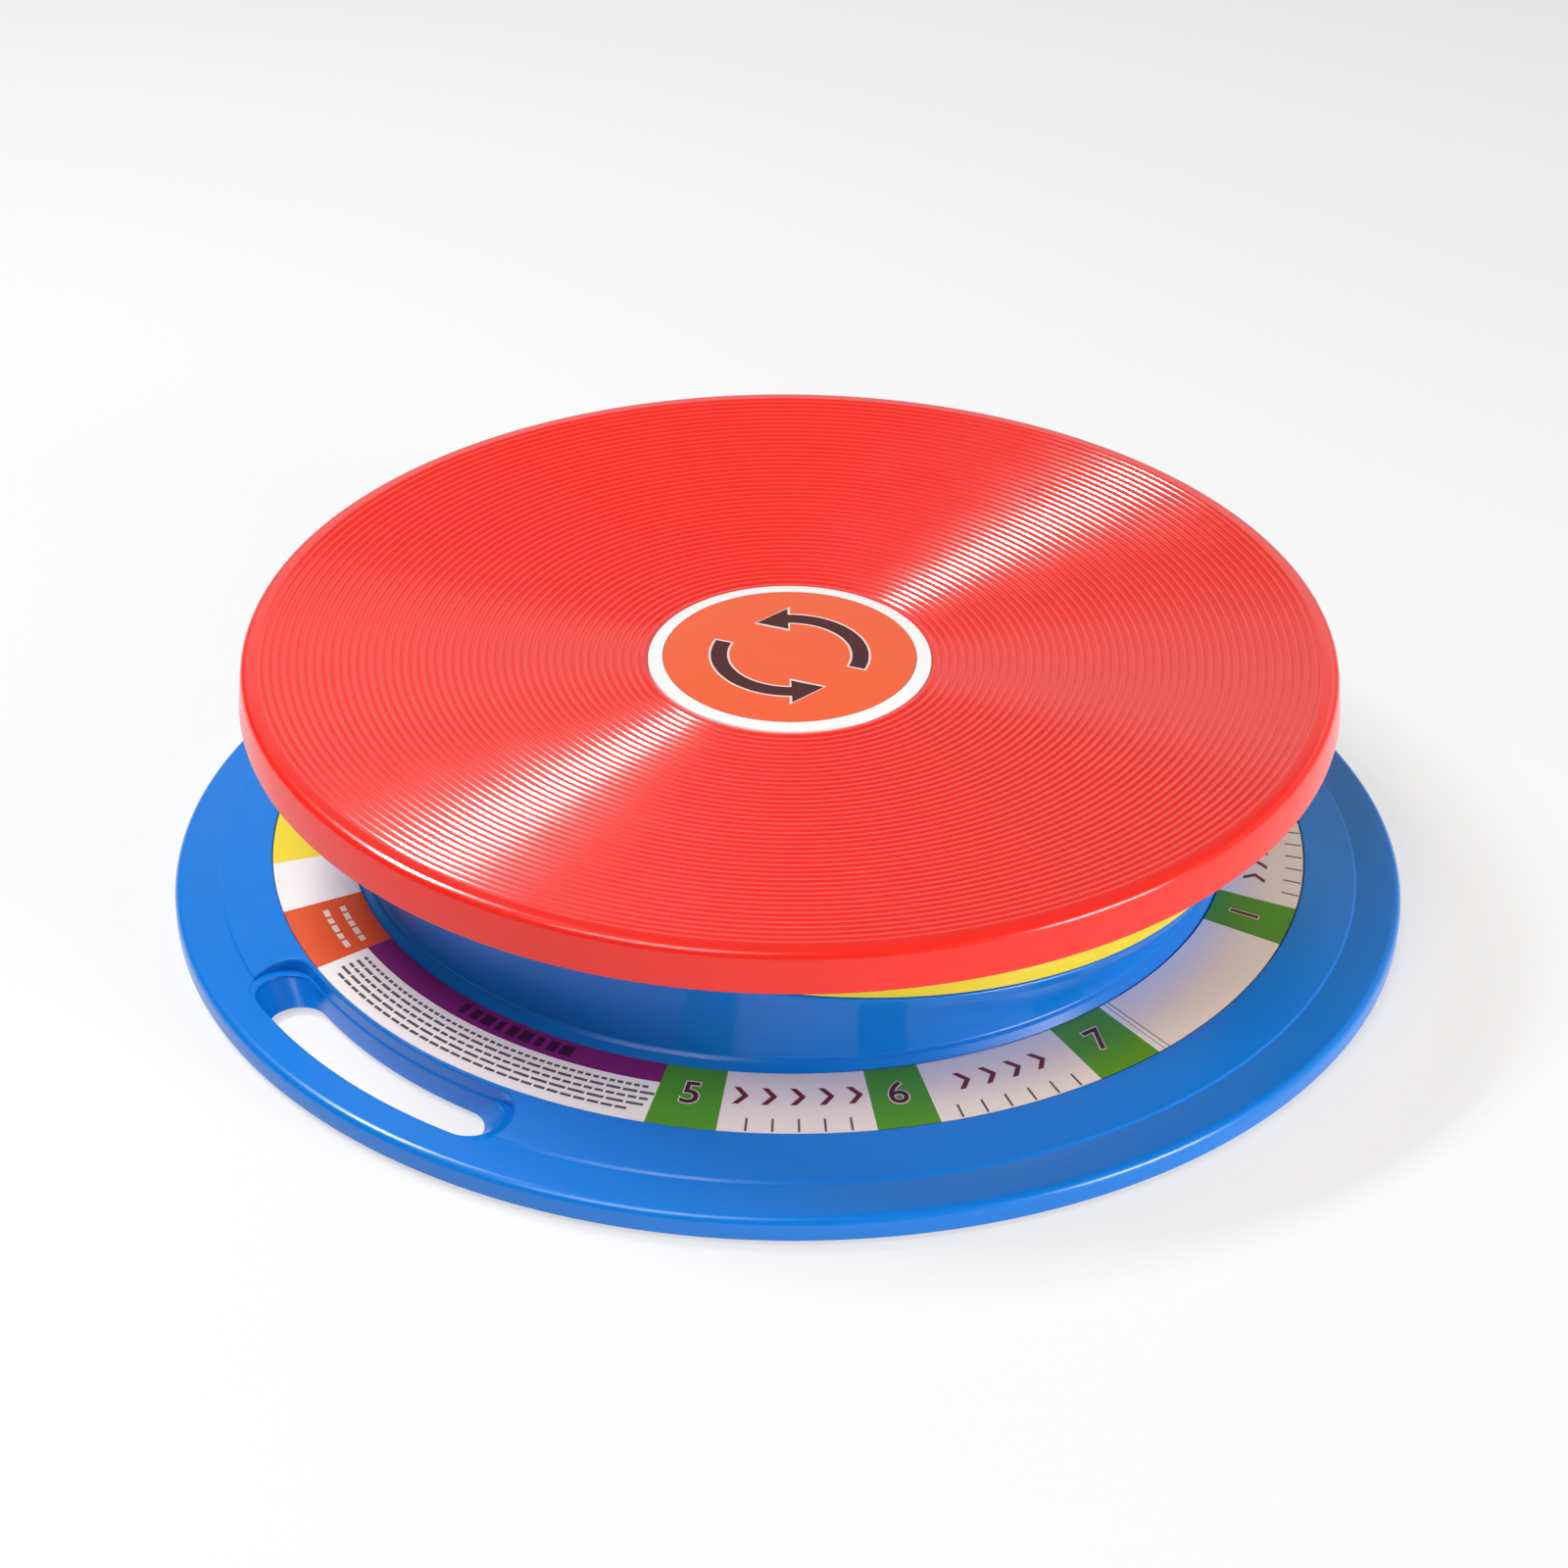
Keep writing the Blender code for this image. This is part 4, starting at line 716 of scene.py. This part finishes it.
SLOPED = 100 * MM           # added to a height that follows the ring's sloping top
wedge_corners = [
    (WEDGE_BORE, WELL_FLOOR, 0.3 * MM), (WELL_RADIUS, WELL_FLOOR, 0),
    (WELL_RADIUS, SLOPED + PLATE_SEAT, 0.3 * MM), (PLATE_RADIUS, SLOPED + PLATE_SEAT, 0),
    (PLATE_RADIUS, SLOPED + WEDGE_HIGH, 0.3 * MM), (RACE_OUTER, SLOPED + WEDGE_HIGH, 0),
    (RACE_OUTER, SLOPED + LIP_TOP, 0.3 * MM), (LIP_OUTER, SLOPED + LIP_TOP, 0.3 * MM),
    (LIP_OUTER, SLOPED + WEDGE_HIGH, 0), (DRUM_TOP, SLOPED + WEDGE_HIGH, 0.8 * MM),
    (DRUM_TOP, WEDGE_LOW, 0.5 * MM), (WEDGE_INSIDE, WEDGE_LOW, 0), (WEDGE_INSIDE, SLOPED + WEDGE_ROOF, 0),
    (PAD_OUTER, SLOPED + WEDGE_ROOF, 0), (PAD_OUTER, WEDGE_LOW, 0), (PAD_INNER, WEDGE_LOW, 0),
    (PAD_INNER, SLOPED + WEDGE_ROOF, 0), (WELL_OUTSIDE, SLOPED + WEDGE_ROOF, 0),
    (WELL_OUTSIDE, WEDGE_LOW, 0), (WEDGE_BORE, WEDGE_LOW, 0.3 * MM),
]
wedge = spun("wedge", rounded(wedge_corners), BASE_STEPS)
for vertex in wedge.data.vertices:
    if vertex.co.z > SLOPED / 2:
        level = (vertex.co.z - SLOPED) / math.cos(SLOPE_ANGLE) + vertex.co.x * math.tan(SLOPE_ANGLE)
        vertex.co.z = max(level, WEDGE_LOW + 0.3 * MM)
wedge.data.transform(ring_frame)
wedge.data.materials.append(plastic("wedge_yellow", YELLOW, 0.26))
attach(wedge, "tilt_ring")
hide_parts("wedge_ring")

# Spinning disc
#
# The seat is a red moulded disc, dished by 11 mm, with 45 turned grooves that catch the light in a
# streak. A smooth shoulder runs round it and a short skirt hangs from its edge.
DISC_STEPS = 216
DISC_WALL = 3 * MM
DISC_RADIUS = 200.0 * MM
DISC_LEVEL = 29.41 * MM
DISC_RIM = 40.91 * MM
DISC_RIM_UNDER = 37.91 * MM
DISH_START = 50.0 * MM
DISH_END = 191.0 * MM
DISH_DEPTH = 11.5 * MM
DISH_CURVE = 1.4
GROOVES = 45
GROOVE_PITCH = 3.08 * MM
# From a ridge's middle to the next valley: share of the pitch, and the slope in degrees up to there
GROOVE_SIDE = [(0.15, 0), (0.22, 14), (0.33, 25), (0.455, 34)]
LAST_GROOVE = 191.0 * MM
SHOULDER_RADIUS = 198.2 * MM
SHOULDER_ROUND = 3.2 * MM
SHOULDER_INSIDE = 195.2 * MM
SHOULDER_UNDER = 34.91 * MM
SKIRT_LOW = 26.21 * MM
SKIRT_INSIDE = 197.0 * MM
SKIRT_START = 196.5 * MM    # outside this radius the red is less polished
POCKET_RADIUS = 52.4 * MM
POCKET_EDGE = 53.4 * MM
POCKET_FLOOR = 27.41 * MM
POCKET_OUTSIDE = 55.4 * MM
POCKET_UNDER = 24.41 * MM
HUB_BORE = 7.1 * MM
HUB_RADIUS = 18.0 * MM
HUB_LOW = 22.01 * MM
BOLT_POCKET = 13.0 * MM
BOLT_SEAT = 24.71 * MM
RACE_INNER = 116.7 * MM
RACE_SEAT = 31.47 * MM
RACE_COLLAR = 134.8 * MM
RACE_COLLAR_LOW = 27.97 * MM
RACE_INSIDE_LOW = 29.3 * MM
DISH_UNDER = [180 * MM, 170 * MM, 160 * MM, 150 * MM, LIP_OUTER]
DISH_UNDER_START = 84 * MM
RED = (0.93, 0.025, 0.015)


def dish(radius):
    """Height of the disc's dished top."""
    share = min(max(radius - DISH_START, 0) / (DISH_END - DISH_START), 1.0)
    return DISC_LEVEL + DISH_DEPTH * share ** DISH_CURVE


side = []
depth = 0.0
reach = 0.0
for share, slope in GROOVE_SIDE:
    depth += (share - reach) * GROOVE_PITCH * math.tan(math.radians(slope))
    reach = share
    side.append((share * GROOVE_PITCH, depth))
first_ridge = LAST_GROOVE - (GROOVES - 0.5) * GROOVE_PITCH
grooved = []
for ridge in range(GROOVES + 1):
    inner_side = [(-offset, depth) for offset, depth in reversed(side)] if ridge > 0 else []
    outer_side = side if ridge < GROOVES else []
    for offset, depth in inner_side + outer_side:
        radius = first_ridge + ridge * GROOVE_PITCH + offset
        grooved.append((radius, dish(radius) - depth, 0))
disc_corners = [
    (HUB_BORE, BOLT_SEAT, 0), (BOLT_POCKET, BOLT_SEAT, 0), (BOLT_POCKET, POCKET_FLOOR, 0.3 * MM),
    (POCKET_RADIUS, POCKET_FLOOR, 0.3 * MM), (POCKET_RADIUS, DISC_LEVEL, 0.3 * MM),
    (POCKET_EDGE, DISC_LEVEL, 0),
    *grooved,
    (LAST_GROOVE + GROOVE_PITCH / 2, DISC_RIM, 0), (SHOULDER_RADIUS, DISC_RIM, SHOULDER_ROUND),
    (DISC_RADIUS, SKIRT_LOW, 0.6 * MM), (SKIRT_INSIDE, SKIRT_LOW, 0.6 * MM),
    (SHOULDER_INSIDE, SHOULDER_UNDER, 2.0 * MM), (DISH_END, DISC_RIM_UNDER, 0),
    *[(radius, dish(radius) - DISC_WALL, 0) for radius in DISH_UNDER],
    (RACE_COLLAR, RACE_COLLAR_LOW, 0), (RACE_OUTER, RACE_COLLAR_LOW, 0), (RACE_OUTER, RACE_SEAT, 0),
    (RACE_INNER, RACE_SEAT, 0), (RACE_INNER, RACE_INSIDE_LOW, 0),
    (DISH_UNDER_START, dish(DISH_UNDER_START) - DISC_WALL, 0),
    (POCKET_OUTSIDE, POCKET_UNDER, 1.0 * MM), (HUB_RADIUS, POCKET_UNDER, 0.5 * MM),
    (HUB_RADIUS, HUB_LOW, 0.3 * MM), (HUB_BORE, HUB_LOW, 0.3 * MM),
]
disc = spun("disc", rounded(disc_corners), DISC_STEPS, 20)
for face in disc.data.polygons:
    face.material_index = int(face.center.xy.length > SKIRT_START)
disc.data.transform(disc_frame)
polished = plastic("disc_red", RED, 0.2, 0.004, 0.03)
polished_shader = polished.node_tree.nodes["Principled BSDF"]
polished_shader.inputs["Specular IOR Level"].default_value = 1.0
polished_shader.inputs["Coat Weight"].default_value = 1.0
polished_shader.inputs["Coat Roughness"].default_value = 0.1
disc.data.materials.append(polished)
disc.data.materials.append(plastic("skirt_red", RED, 0.2, 0.006, 0.03))
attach(disc, "disc")
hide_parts("spinning_disc")

# Hub cap
#
# A white plastic cap snaps into the pocket in the middle of the disc and hides the pivot bolt. It has a
# sloped edge round a shallow seat for the label.
CAP_RADIUS = 52.1 * MM
CAP_TOP = 30.41 * MM
CAP_LOW = 27.71 * MM
CAP_STEPS = 192
CAP_SEAT = 46.7 * MM
CAP_SEAT_DEPTH = 0.7 * MM
CAP_FLAT_END = 47.8 * MM
CAP_BEVEL_DROP = 0.4 * MM
CAP_EDGE_DROP = 1.0 * MM
WHITE = (0.9, 0.885, 0.865)
cap_corners = [
    (0, CAP_TOP - CAP_SEAT_DEPTH, 0), (CAP_SEAT, CAP_TOP - CAP_SEAT_DEPTH, 0),
    (CAP_SEAT, CAP_TOP, 0.15 * MM), (CAP_FLAT_END, CAP_TOP, 0.8 * MM),
    (CAP_RADIUS - 0.3 * MM, CAP_TOP - CAP_BEVEL_DROP, 0.4 * MM),
    (CAP_RADIUS, CAP_TOP - CAP_EDGE_DROP, 0.3 * MM), (CAP_RADIUS, CAP_LOW, 0.2 * MM), (0, CAP_LOW, 0),
]
cap = spun("cap", rounded(cap_corners), CAP_STEPS)
cap.data.transform(disc_frame)
cap.data.materials.append(plastic("cap_white", WHITE, 0.28))
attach(cap, "disc")
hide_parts("hub_cap")

# Hub label
#
# A round orange sticker lies in the cap's seat. Two arrows that chase each other round show that the
# disc turns; they are printed dark with a pale outline.
STICKER_RADIUS = 46.4 * MM
STICKER_LOW = 30.01 * MM
STICKER_ORANGE = (0.86, 0.125, 0.042)
ARROWS = 2
ARROW_RADIUS = 26.0 * MM
ARROW_WIDTH = 6.0 * MM
ARROW_SWEEP = math.radians(112)
ARROW_HEAD = 15.0 * MM
ARROW_TIP = 12.0 * MM
ARROW_EDGE = 0.8 * MM
ARROW_STEPS = 28
sticker_corners = [
    (0, CAP_TOP, 0), (STICKER_RADIUS, CAP_TOP, 0.1 * MM), (STICKER_RADIUS, STICKER_LOW, 0),
    (0, STICKER_LOW, 0),
]
sticker = spun("sticker", rounded(sticker_corners), CAP_STEPS)
sticker.data.transform(disc_frame)
sticker.data.materials.append(plastic("sticker_orange", STICKER_ORANGE, 0.34, 0.012))
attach(sticker, "disc")
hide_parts("hub_label")


def arrow(start, edge):
    """Corners of an arrow bent round the middle, widened all round by an edge."""
    tail = start - edge / ARROW_RADIUS
    neck = start + ARROW_SWEEP - edge / ARROW_RADIUS
    tip = start + ARROW_SWEEP + (ARROW_TIP + 1.5 * edge) / ARROW_RADIUS
    spread_out = ARROW_HEAD / 2 + 1.9 * edge
    turns = [tail + (neck - tail) * step / ARROW_STEPS for step in range(ARROW_STEPS + 1)]
    corners = [polar(ARROW_RADIUS + ARROW_WIDTH / 2 + edge, turn) for turn in turns]
    corners += [polar(ARROW_RADIUS + spread_out, neck), polar(ARROW_RADIUS, tip),
                polar(ARROW_RADIUS - spread_out, neck)]
    corners += [polar(ARROW_RADIUS - ARROW_WIDTH / 2 - edge, turn) for turn in reversed(turns)]
    return [Vector((corner.x, corner.y, CAP_TOP)) for corner in corners]


for name, edge, thick, colour in (("arrow_edges", ARROW_EDGE, INK_THIN, INK_PALE),
                                  ("arrows", 0.0, INK_THICK, INK_MAROON)):
    work = bmesh.new()
    for start in spread(ARROWS, math.radians(-30)):
        slab(work, arrow(start, edge), thick)
    bmesh.ops.triangulate(work, faces=work.faces)
    arrows = finish_mesh(work, name)
    arrows.data.transform(disc_frame)
    arrows.data.materials.append(ink("ink_" + name, colour))
    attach(arrows, "disc")

# Rubber feet
#
# Six moulded rubber feet are pressed into bosses under the deck. Each has a ring that touches the floor
# round a shallow hollow, which keeps the board from sliding.
def rubber(name):
    """Matt black rubber with a fine grain and a little pale dust."""
    material, tree, shader, place = new_material(name)
    dust = noise(tree, place, 120, 4)
    tree.links.new(mix(tree, dust, (0.012, 0.012, 0.013, 1), (0.035, 0.034, 0.033, 1)),
                   shader.inputs["Base Color"])
    tree.links.new(maths(tree, "MULTIPLY_ADD", dust, 0.2, 0.62), shader.inputs["Roughness"])
    grain = noise(tree, place, 2600, 2)
    bump = make(tree, "ShaderNodeBump", {"Height": grain, "Strength": 1.0, "Distance": 0.03 * MM})
    tree.links.new(bump.outputs["Normal"], shader.inputs["Normal"])
    return material


FOOT_STEPS = 48
HOLLOW_RADIUS = 4.2 * MM
HOLLOW_DEPTH = 0.6 * MM
TREAD_INNER = 4.8 * MM
TREAD_OUTER = 7.2 * MM
FOOT_BEVEL = 0.8 * MM
foot_rubber = rubber("foot_rubber")
foot_corners = [
    (0, HOLLOW_DEPTH, 0), (HOLLOW_RADIUS, HOLLOW_DEPTH, 0.4 * MM), (TREAD_INNER, 0, 0.2 * MM),
    (TREAD_OUTER, 0, 0.3 * MM), (FOOT_RADIUS, FOOT_BEVEL, 0.3 * MM), (FOOT_RADIUS, FOOT_TOP, 0.2 * MM),
    (0, FOOT_TOP, 0),
]
for index in range(FEET):
    node = f"rubber_foot_{index + 1}"
    low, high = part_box(node)
    foot = spun("foot_" + str(index + 1), rounded(foot_corners), FOOT_STEPS)
    foot.data.transform(Matrix.Translation(((low[0] + high[0]) / 2, (low[1] + high[1]) / 2, 0)))
    foot.data.materials.append(foot_rubber)
    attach(foot, "base")
    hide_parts(node)

# Bottom cover
#
# A blue disc closes the drum from below, so that the lock nut can be reached. Raised rings stiffen it,
# and six screws sit in counterbores near its edge.
COVER_LOW = 2.3 * MM
COVER_HIGH = 5.3 * MM
COVER_RADIUS = 188.9 * MM
BEAD_HEIGHT = 0.5 * MM
BEAD_WIDTH = 5 * MM
BEAD_SIDE = 1 * MM
BEADS = [40 * MM, 85 * MM, 130 * MM]
SCREWS = 6
SCREW_CIRCLE = 176.8 * MM
COUNTERBORE = 3.3 * MM
COUNTERBORE_DEPTH = 1.9 * MM
cover_corners = [(0, COVER_LOW, 0)]
for bead in BEADS:
    crest = COVER_LOW - BEAD_HEIGHT
    end = bead + BEAD_WIDTH
    cover_corners += [(bead, COVER_LOW, 0.4 * MM), (bead + BEAD_SIDE, crest, 0.4 * MM),
                      (end - BEAD_SIDE, crest, 0.4 * MM), (end, COVER_LOW, 0.4 * MM)]
cover_corners += [(COVER_RADIUS, COVER_LOW, 0.6 * MM), (COVER_RADIUS, COVER_HIGH, 0.3 * MM),
                  (0, COVER_HIGH, 0)]
cover = spun("cover", rounded(cover_corners), BASE_STEPS)
bores = []
for turn in spread(SCREWS, SLOT_HEADING):
    top = COVER_LOW + COUNTERBORE_DEPTH
    bore = spun("bore", [(0, top), (COUNTERBORE, top), (COUNTERBORE, 0), (0, 0)], BORE_STEPS)
    bore.data.transform(Matrix.Translation(polar(SCREW_CIRCLE, turn)))
    bores.append(bore)
change_solid(cover, bores, "DIFFERENCE")
smooth(cover.data)
cover.data.materials.clear()
cover.data.materials.append(plastic("cover_blue", BLUE, 0.34, 0.02))
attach(cover, "base")
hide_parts("bottom_cover")

# Screws of the bottom cover
#
# Six zinc-plated pan-head screws with a cross recess hold the cover. They are seen only from below.
SCREW_STEPS = 32
HEAD_RADIUS = 3.0 * MM
HEAD_HEIGHT = 1.6 * MM
HEAD_SIDE = 0.7 * MM
CROWN_RADIUS = 2.2 * MM
SHANK_RADIUS = 1.5 * MM
SHANK_LENGTH = 6.0 * MM
SCREW_TIP = 0.8 * MM
CROSS_LENGTH = 3.4 * MM
CROSS_WIDTH = 0.7 * MM
CROSS_DEPTH = 1.0 * MM


def steel(name, tone=0.62, roughness=0.3):
    """Zinc-plated steel: bluish grey, cloudy, with fine scratches."""
    material, tree, shader, place = new_material(name)
    cloud = noise(tree, place, 260, 4)
    tint = mix(tree, cloud, (tone * 0.86, tone * 0.87, tone * 0.88, 1), (tone, tone, tone * 1.02, 1))
    tree.links.new(tint, shader.inputs["Base Color"])
    tree.links.new(maths(tree, "MULTIPLY_ADD", cloud, 0.2, roughness - 0.1), shader.inputs["Roughness"])
    scratches = noise(tree, place, 3500, 3)
    bump = make(tree, "ShaderNodeBump", {"Height": scratches, "Strength": 0.7, "Distance": 0.01 * MM})
    tree.links.new(bump.outputs["Normal"], shader.inputs["Normal"])
    shader.inputs["Metallic"].default_value = 1.0
    return material


zinc = steel("zinc_steel")
screw_corners = [
    (0, HEAD_HEIGHT, 0), (CROWN_RADIUS, HEAD_HEIGHT, 1.0 * MM), (HEAD_RADIUS, HEAD_SIDE, 0.4 * MM),
    (HEAD_RADIUS, 0, 0.1 * MM), (SHANK_RADIUS, 0, 0), (SHANK_RADIUS, SCREW_TIP - SHANK_LENGTH, 0),
    (0, -SHANK_LENGTH, 0),
]
for index, turn in enumerate(spread(SCREWS, SLOT_HEADING)):
    screw = spun("screw_" + str(index + 1), rounded(screw_corners), SCREW_STEPS)
    cross = []
    for sides in ((CROSS_LENGTH, CROSS_WIDTH), (CROSS_WIDTH, CROSS_LENGTH)):
        cutter = bmesh.new()
        bmesh.ops.create_cube(cutter, size=1)
        bmesh.ops.scale(cutter, verts=cutter.verts, vec=(*sides, 2 * CROSS_DEPTH))
        bmesh.ops.translate(cutter, verts=cutter.verts, vec=(0, 0, HEAD_HEIGHT))
        cross.append(finish_mesh(cutter, "cross"))
    change_solid(screw, cross, "DIFFERENCE")
    turned = Matrix.Rotation(math.pi, 4, "X") @ Matrix.Rotation(0.7 * index, 4, "Z")
    screw.data.transform(Matrix.Translation(polar(SCREW_CIRCLE, turn, COVER_LOW + HEAD_HEIGHT)) @ turned)
    smooth(screw.data)
    screw.data.materials.clear()
    screw.data.materials.append(zinc)
    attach(screw, "base")
    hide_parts(f"cover_screw_{index + 1}")

# Works inside the drum
#
# Races, balls, pivot bolt, plates and rings are hidden by the disc and the cover. They keep their solids
# and get steel, nylon and rubber finishes.
def nylon(name):
    """Natural nylon: milky, slightly waxy, with faint flow marks."""
    material, tree, shader, place = new_material(name)
    flow = noise(tree, place, 60, 3)
    tint = mix(tree, flow, (0.70, 0.68, 0.61, 1), (0.80, 0.78, 0.72, 1))
    tree.links.new(tint, shader.inputs["Base Color"])
    tree.links.new(maths(tree, "MULTIPLY_ADD", flow, 0.15, 0.38), shader.inputs["Roughness"])
    bump = make(tree, "ShaderNodeBump", {"Height": noise(tree, place, 900, 2), "Strength": 1.0,
                                         "Distance": 0.02 * MM})
    tree.links.new(bump.outputs["Normal"], shader.inputs["Normal"])
    shader.inputs["Subsurface Weight"].default_value = 0.08
    shader.inputs["Subsurface Scale"].default_value = 1.0 * MM
    return material


finishes = {
    "zinc_steel": zinc,
    "ball_steel": steel("ball_steel", 0.75, 0.16),
    "nylon_natural": nylon("nylon_natural"),
    "rubber_black": rubber("ring_rubber"),
}
for piece in frame["record"]["subparts"]:
    node = piece["node"]
    is_ball = node.startswith("ball_") and node != "ball_cage"
    finish = "ball_steel" if is_ball else piece["material_slot"]
    if finish in finishes:
        for place in frame["nodes"][node].material_slots:
            place.material = finishes[finish]

# Floor, light and camera
#
# The board stands on a pale studio floor. A long narrow lamp high on the left makes the streak on the
# disc, a broad one high in front lights the label, and a low one on the right lights the drum.
FLOOR_SIZE = 30.0
FLOOR_PALE = (0.86, 0.86, 0.86)
FLOOR_WHITE = 0.6           # how far the floor is pure white to the camera and to reflections
WALL_LIGHT = 0.55           # at the top of the walls; lower down they are dimmer
WALL_LOW_LIGHT = 0.34
CEILING_LIGHT = 0.06
BACKDROP = 0.65             # seen above the far end of the floor, in the floor's own tone there
DARK_SIDE = 0.12
BRIGHT_HEADING = math.radians(74)
CAMERA_DISTANCE = 0.94978
CAMERA_HEIGHT = 0.60327
CAMERA_AZIMUTH = math.radians(-46.0)
VIEW_HEADING = math.radians(134.1056)
VIEW_DROP = math.radians(31.018)
VIEW_ROLL = math.radians(0.4379)
VIEW_LENS = 67.5

work = bmesh.new()
bmesh.ops.create_grid(work, x_segments=1, y_segments=1, size=FLOOR_SIZE)
floor = finish_mesh(work, "floor")
floor_paint, floor_tree, floor_shader, floor_place = new_material("floor_paint")
floor_cloud = noise(floor_tree, floor_place, 1.5, 2)
floor_tint = mix(floor_tree, floor_cloud, shaded(FLOOR_PALE, 0.99), shaded(FLOOR_PALE, 1.01))
floor_tree.links.new(floor_tint, floor_shader.inputs["Base Color"])
floor_shader.inputs["Roughness"].default_value = 0.9
floor_shader.inputs["Specular IOR Level"].default_value = 0.1
ray = make(floor_tree, "ShaderNodeLightPath").outputs
seen = maths(floor_tree, "MAXIMUM", ray["Is Camera Ray"], ray["Is Glossy Ray"])
seen = maths(floor_tree, "MAXIMUM", seen, ray["Is Transmission Ray"])
glow = make(floor_tree, "ShaderNodeEmission", {"Color": (1, 1, 1, 1), "Strength": 1.0}).outputs[0]
share = maths(floor_tree, "MULTIPLY", seen, FLOOR_WHITE)
blend = make(floor_tree, "ShaderNodeMixShader", {0: share, 1: floor_shader.outputs[0], 2: glow}).outputs[0]
floor_tree.links.new(blend, floor_tree.nodes["Material Output"].inputs["Surface"])
floor.data.materials.append(floor_paint)

world = bpy.data.worlds.new("studio")
bpy.context.scene.world = world
world.use_nodes = True
sky_tree = world.node_tree
sky = sky_tree.nodes["Background"]
sky_way = make(sky_tree, "ShaderNodeTexCoord").outputs["Generated"]
sky_split = make(sky_tree, "ShaderNodeSeparateXYZ", {0: sky_way}).outputs
sky_side = maths(sky_tree, "MULTIPLY", sky_split[0], math.cos(BRIGHT_HEADING))
sky_side = maths(sky_tree, "MULTIPLY_ADD", sky_split[1], math.sin(BRIGHT_HEADING), sky_side)
sky_wall = make(sky_tree, "ShaderNodeMapRange", {
    "Value": sky_side, "From Min": -0.3, "From Max": 0.3, "To Min": DARK_SIDE, "To Max": 1.0}).outputs[0]
sky_rise = make(sky_tree, "ShaderNodeValToRGB", {0: sky_split[2]})
stops = sky_rise.color_ramp.elements
stops.remove(stops[1])
for index, (rise, level) in enumerate([(18, WALL_LOW_LIGHT), (26, WALL_LIGHT), (31, WALL_LIGHT),
                                       (37, CEILING_LIGHT)]):
    share = math.sin(math.radians(rise))
    stop = stops[0] if index == 0 else stops.new(share)
    stop.position = share
    stop.color = (level, level, level, 1)
sky_seen = make(sky_tree, "ShaderNodeLightPath").outputs["Is Camera Ray"]
sky_level = maths(sky_tree, "MULTIPLY", sky_rise.outputs[0], sky_wall)
sky_level = maths(sky_tree, "MAXIMUM", sky_level, maths(sky_tree, "MULTIPLY", sky_seen, BACKDROP))
sky_tree.links.new(sky_level, sky.inputs["Strength"])
sky.inputs["Color"].default_value = (1.0, 1.0, 1.0, 1)


def lamp(name, heading, rise, distance, size_x, size_y, power, roll=0.0):
    """A soft lamp that faces the board from a heading and a height, rolled, all in degrees."""
    light = bpy.data.lights.new(name, "AREA")
    light.shape = "RECTANGLE"
    light.size = size_x
    light.size_y = size_y
    light.energy = power
    item = bpy.data.objects.new(name, light)
    bpy.context.scene.collection.objects.link(item)
    away = polar(math.cos(math.radians(rise)), math.radians(heading), math.sin(math.radians(rise)))
    item.location = away * distance + Vector((0, 0, 0.08))
    facing = away.to_track_quat("Z", "Y").to_matrix() @ Matrix.Rotation(math.radians(roll), 3, "Z")
    item.rotation_euler = facing.to_euler()


lamp("key", 200, 53.1, 1.8, 0.9, 0.16, 23, -19)
lamp("top", -80, 57, 2.0, 0.9, 0.9, 17)
lamp("fill", 12, 13, 2.0, 0.8, 0.5, 26)

camera_data = bpy.data.cameras.new("camera")
camera_data.lens = VIEW_LENS
camera_data.sensor_width = 36
camera = bpy.data.objects.new("camera", camera_data)
bpy.context.scene.collection.objects.link(camera)
camera.location = polar(CAMERA_DISTANCE, CAMERA_AZIMUTH, CAMERA_HEIGHT)
aim = Matrix.Rotation(VIEW_HEADING - math.pi / 2, 3, "Z") @ Matrix.Rotation(math.pi / 2 - VIEW_DROP, 3, "X")
camera.rotation_euler = (aim @ Matrix.Rotation(VIEW_ROLL, 3, "Z")).to_euler()
bpy.context.scene.camera = camera
bpy.context.scene.view_settings.view_transform = "Standard"
